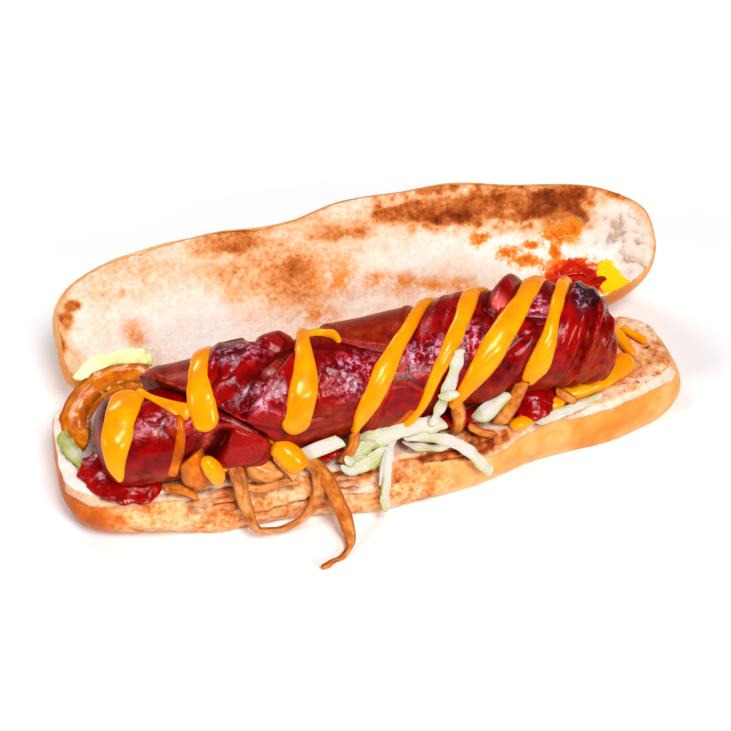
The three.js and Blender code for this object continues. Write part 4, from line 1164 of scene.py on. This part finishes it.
def fibres(k, size=1.0):
    """Fine streaks that follow a strip's length."""
    combine = k.add("ShaderNodeCombineXYZ")
    for socket, name, stretch in zip(combine.inputs, ("along", "across"), (0.0002, 0.0045 / size)):
        k.put(socket, k.times(k.mask(name), stretch))
    return k.noise(1.0, 3, 0.6, combine.outputs[0])


# How each kind of onion runs from its dark streaks to its pale ones
ONION_TONES = {
    "onion_brown": [(150, 70, 12), (194, 108, 34), (214, 138, 60), (232, 176, 116)],
    "onion_glazed": [(178, 82, 4), (212, 112, 10), (228, 134, 26), (236, 160, 66)],
    "onion_soft": [(160, 80, 24), (204, 126, 58), (222, 158, 94), (238, 200, 156)],
}
ONION_KINDS = {"onion_ring": "onion_glazed", "onion_petal": "onion_glazed", "onion_loop": "onion_soft",
               "onion_chunk": "onion_soft", "onion_flake": "onion_soft", "onion_shaving": "onion_soft"}


def onion_look(name):
    k = Look(name, 0.16, Coat_Weight=0.08, Coat_Roughness=0.06, Specular_IOR_Level=0.28,
             Subsurface_Weight=0.35, Subsurface_Scale=0.0025, Specular_Tint=(1.0, 0.88, 0.72, 1.0),
             Subsurface_Radius=(1.0, 0.45, 0.1))
    fibre = fibres(k)
    mottle, lumps = k.noise(4, 4), 0.3 if name == "onion_glazed" else 0.9
    tint = k.ramp(k.blend((fibre, 0.34), (mottle, 0.66)), *zip((0.34, 0.46, 0.56, 0.7), ONION_TONES[name]))
    rim = k.times(k.span(k.mask("edge"), 0.5, 0.98), k.span(mottle, 0.3, 0.6))
    k.colour(k.mix(k.times(rim, 0.8), tint, (124, 46, 4)))
    k.bump(k.blend((fibre, 0.5), (mottle, lumps)), 0.5, 0.6)
    return k


# Lettuce strips, in the same way as the onion ones; the heap's strips are one tangle
LETTUCES = {
    "lettuce_sprig": ((0.1, -1, 0.3), 0.5, 0.4, 0.1, 0.18, 0.45, 0.0, [
        (18.2, -28.4, 48.4, 2.8), (16.8, -29.6, 44.4, 4), (14.8, -32.4, 40, 4.8), (12.6, -34.2, 36, 4.6),
        (10.4, -35.4, 31.5, 3.6), (8.2, -36.8, 27.5, 2.2)]),
    "lettuce_shred": (SLANT, 0.9, 0.12, 0.12, 0.03, 0.1, 0.0, [
        (-31, -38.8, 26.2, 4), (-25.5, -38.9, 28, 4.4), (-19, -38.4, 29.6, 4)]),
    "lettuce_rib": (SLANT, 1.4, 0.3, 0.4, 0.06, 0.2, 0.1, [
        (22.6, -33.6, 23.4, 4), (25.2, -33.8, 25.8, 5.6), (28.8, -32.8, 28.6, 4.6),
        (33.2, -31.6, 30.4, 3)]),
    "lettuce_left": (UP, 1.2, 0.5, 0.3, 0.22, 0.3, 0.12, [
        (-97.4, -8.6, 21, 3), (-96.8, -13.4, 21.6, 4.4), (-95.2, -18, 21.6, 4.4),
        (-92.8, -23.2, 20.6, 2.6)]),
    "lettuce_back": ((0, -0.5, 0.8), 1.4, 0.7, 0.1, 0.25, 0.3, 0.0, [
        (-91, 11.4, 22.6, 3), (-85, 14, 24.6, 5), (-78, 15, 25.4, 5.6), (-71, 14.6, 24.8, 5),
        (-67, 14, 24, 3)]),
    "lettuce_curl": ((0.2, -0.8, 0.6), 0.6, 0.3, 0.3, 0.1, 0.6, 0.0, [
        (10.2, -35.8, 37.4, 1.8), (12.8, -36.4, 38.2, 3), (15.8, -35.6, 38.6, 2)]),
    "lettuce_sliver": (SLANT, 0.7, 0.25, 0.1, 0.15, 0.3, 0.0, [
        (64, -28.4, 20.4, 1.4), (58.5, -30.4, 20.2, 2.2), (53.1, -32, 20.2, 2.8), (47.7, -33.6, 20.4, 3),
        (43.5, -35.2, 20.6, 2.6), (41, -36.4, 20.6, 1.8)]),
}
HEAP = [
    (SLANT, 0.5, 0.45, 0.1, 0.16, 0.5, 0.0, [
        (-15.5, -36.8, 25.4, 4), (-9, -37.4, 27.2, 5.4), (-2.5, -36.8, 27.6, 4.8), (3.5, -36.2, 27.6, 4.8),
        (9, -35.6, 27.2, 5.2), (12.5, -35, 26.6, 4)]),
    ((0.1, -0.8, 0.7), 0.5, 0.45, 0.1, 0.18, 0.5, 0.0, [
        (-0.8, -36.8, 25, 2.6), (4.5, -37.6, 24.8, 3.2), (10.1, -39.2, 23.8, 3.4), (15, -40.6, 21.8, 3.4),
        (19.4, -42.6, 18.4, 3.6), (23, -43.8, 14.2, 3.6), (24.8, -44.4, 11.2, 2.8)]),
    (FRONT, 0.5, 0.35, 0.1, 0.18, 0.5, 0.0, [
        (-3.6, -37.6, 25.6, 3.2), (-5.8, -41.4, 22.6, 3.2), (-7.4, -45.2, 17.6, 2.8), (-8, -46.8, 12, 2.8),
        (-7.6, -47.6, 6.8, 3)]),
    (SLANT, 0.5, 0.7, 0.1, 0.22, 0.6, 0.0, [
        (-20, -42, 20.8, 2.8), (-15.5, -42.8, 21.4, 4), (-10.5, -41.8, 23, 4.4), (-6, -39.4, 25, 3)]),
    (SLANT, 0.6, 0.6, 0.1, 0.15, 0.6, 0.0, [
        (-17.8, -39.6, 22.6, 2.6), (-14, -39.4, 25.4, 4), (-9.6, -38.2, 27, 3.2)]),
    (UP, 0.6, 0.4, 0.1, 0.14, 0.4, 0.0, [
        (-1, -38.2, 24.2, 2.2), (4.6, -40, 22.8, 3), (9.4, -40.6, 22, 2.8), (14, -39.8, 21.8, 2)]),
    (FRONT, 0.5, 0.05, 0.0, 0.1, 0.2, 0.0, [
        (-6.4, -40.4, 24.6, 1.2), (-8, -42.6, 21.8, 1.4), (-9.2, -45.2, 18.4, 1), (-9.6, -46.2, 16, 0.6)]),
    (SLANT, 0.6, 0.5, 0.1, 0.15, 0.6, 0.0, [
        (-19, -40.6, 24, 2), (-16.6, -41.2, 22.8, 3), (-12.8, -41.2, 22.6, 3), (-9.8, -42.8, 21, 2)]),
]


def lettuce_look(name, green, cream=False):
    k = Look(name, 0.26, Specular_IOR_Level=0.35, Transmission_Weight=0 if cream else 0.3, IOR=1.2)
    vein, patch = fibres(k, 1.3), k.noise(8.5, 3)
    rim = k.times(k.span(k.mask("across"), 0.3, 1.0), 0.14)
    tone = k.plus(k.plus(k.blend((vein, 0.3), (patch, 0.7)), rim), green)
    tint = k.ramp(tone, (0.4, (244, 236, 230)), (0.53, (236, 232, 212)), (0.62, (222, 222, 168)),
                  (0.76, (190, 200, 76)), (0.95, (150, 160, 6)))
    if cream:
        tint = k.mix(k.span(patch, 0.42, 0.6), (255, 252, 202), k.mix(0.85, tint, (248, 252, 178)))
    k.colour(tint)
    k.bump(k.plus(vein, k.times(k.noise(1.6, 3), 0.8)), 0.5, 0.7)
    return k


# Putting it together

roll = roll_shape()
dress_roll(roll)
bread_look().wear(roll)
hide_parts("bun")

meat = sausage_look()
main = body_shape(SAUSAGE, "scored_sausage", 1)
dress_body(main, SAUSAGE)
tip = body_shape(END, "broken_end", -1)
dress_body(tip, END)
meat.wear(main, tip)
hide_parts("sausage")
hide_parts("sausage_end")

mustards = mustard_pieces()
mustard_look("mustard").wear(*mustards)
drips = stripe_pieces(THIN_DRIPS, "thin_drip", 30)
mustard_look("mustard_thin").wear(*drips)
mustards += drips
ketchups = [pool(name, balls) for name, balls in POOLS.items()]
smear = [(*place(UPPER, x, v, -0.2).tolist(), radius) for x, v, radius in SMEAR]
ketchup_look("ketchup").wear(*ketchups)
ketchups.append(pool("ketchup_smear", smear, 0.24))
ketchup_look("ketchup_thin").wear(ketchups[-1])

looks = {kind: onion_look(kind) for kind in ONION_TONES}
onions = []
for i, (name, made) in enumerate(ONIONS.items()):
    piece = ribbon(name + "_fried", *made, seed=i)
    if name == "onion_ring":
        piece = merged(piece, ribbon("inner_layer", *INNER_RING, seed=60))
    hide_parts(name)
    looks[ONION_KINDS.get(name, "onion_brown")].wear(piece)
    onions.append(piece)

leaf = lettuce_look("lettuce", 0)
looks = dict(lettuce_left=lettuce_look("lettuce_green", 0.15),
             lettuce_back=lettuce_look("lettuce_dressed", 0.05, True))
leaves = []
for i, (name, made) in enumerate(LETTUCES.items()):
    piece = ribbon(name + "_shredded", *made, seed=i + 20)
    looks.get(name, leaf).wear(piece)
    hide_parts(name)
    leaves.append(piece)
heap = [ribbon(f"lettuce_heap_{i + 1}", *made, seed=i + 40) for i, made in enumerate(HEAP)]
leaf.wear(*heap)
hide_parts("lettuce_heap")
leaves += heap

for piece in [roll, main, tip, *mustards, *ketchups, *onions, *leaves]:
    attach(piece, "root")

# Floor, light and camera

FLOOR_REACH = 3000
corners = [(x * FLOOR_REACH, y * FLOOR_REACH, 0) for x, y in ((-1, -1), (1, -1), (1, 1), (-1, 1))]
floor = make_object("floor", corners, [(0, 1, 2, 3)], False)
paper = Look("floor", 0.9)
paper.colour(paper.ramp(paper.noise(400, 2), (0.3, (0.93, 0.93, 0.93, 1)), (0.7, (0.95, 0.95, 0.95, 1))))
paper.wear(floor)


def turned_to(obj, direction):
    obj.rotation_mode = "QUATERNION"
    obj.rotation_quaternion = direction.to_track_quat("-Z", "Y")


# Soft lights aimed at the middle: place in metres, size, power and tint
LIGHTS = {
    "key": ((0.16, -0.86, 1.34), (0.44, 0.54), 15.4, (0.98, 0.98, 1.0)),
    "rim": ((-0.5, 1.3, 1.1), (0.5, 0.3), 8.0, (0.94, 0.97, 1.0)),
    "front": ((0.8, -1.5, 0.9), (0.35, 0.35), 9.0, (1, 1, 1)),
    "left": ((-1.5, -0.7, 1.0), (0.35, 0.35), 8.0, (1, 1, 1)),
}
for name, (place_m, size, power, tint) in LIGHTS.items():
    light = bpy.data.lights.new(name, "AREA")
    light.shape = "RECTANGLE"
    light.size, light.size_y = size
    light.energy = power
    light.color = tint
    lamp = bpy.data.objects.new(name, light)
    lamp.location = place_m
    turned_to(lamp, -Vector(place_m))
    bpy.context.scene.collection.objects.link(lamp)

world = bpy.data.worlds.new("studio")
world.use_nodes = True
background = world.node_tree.nodes["Background"].inputs
background["Color"].default_value = (1, 1, 1, 1)
background["Strength"].default_value = 0.16
bpy.context.scene.world = world
bpy.context.scene.view_settings.view_transform = "Standard"
bpy.context.scene.view_settings.look = "Medium High Contrast"

# The camera's turn and height round the point that it aims at, and its distance in metres
azimuth, elevation, distance = math.radians(-13), math.radians(43), 0.540
aim = Vector((-0.00192, 0.00584, 0.015))
level = math.cos(elevation)
back = Vector((math.sin(azimuth) * level, -math.cos(azimuth) * level, math.sin(elevation)))
camera_data = bpy.data.cameras.new("camera")
camera_data.lens = 85
camera_data.sensor_width = 36
camera_data.clip_start = 0.01
camera = bpy.data.objects.new("camera", camera_data)
camera.location = aim + back * distance
turned_to(camera, -back)
bpy.context.scene.collection.objects.link(camera)
bpy.context.scene.camera = camera
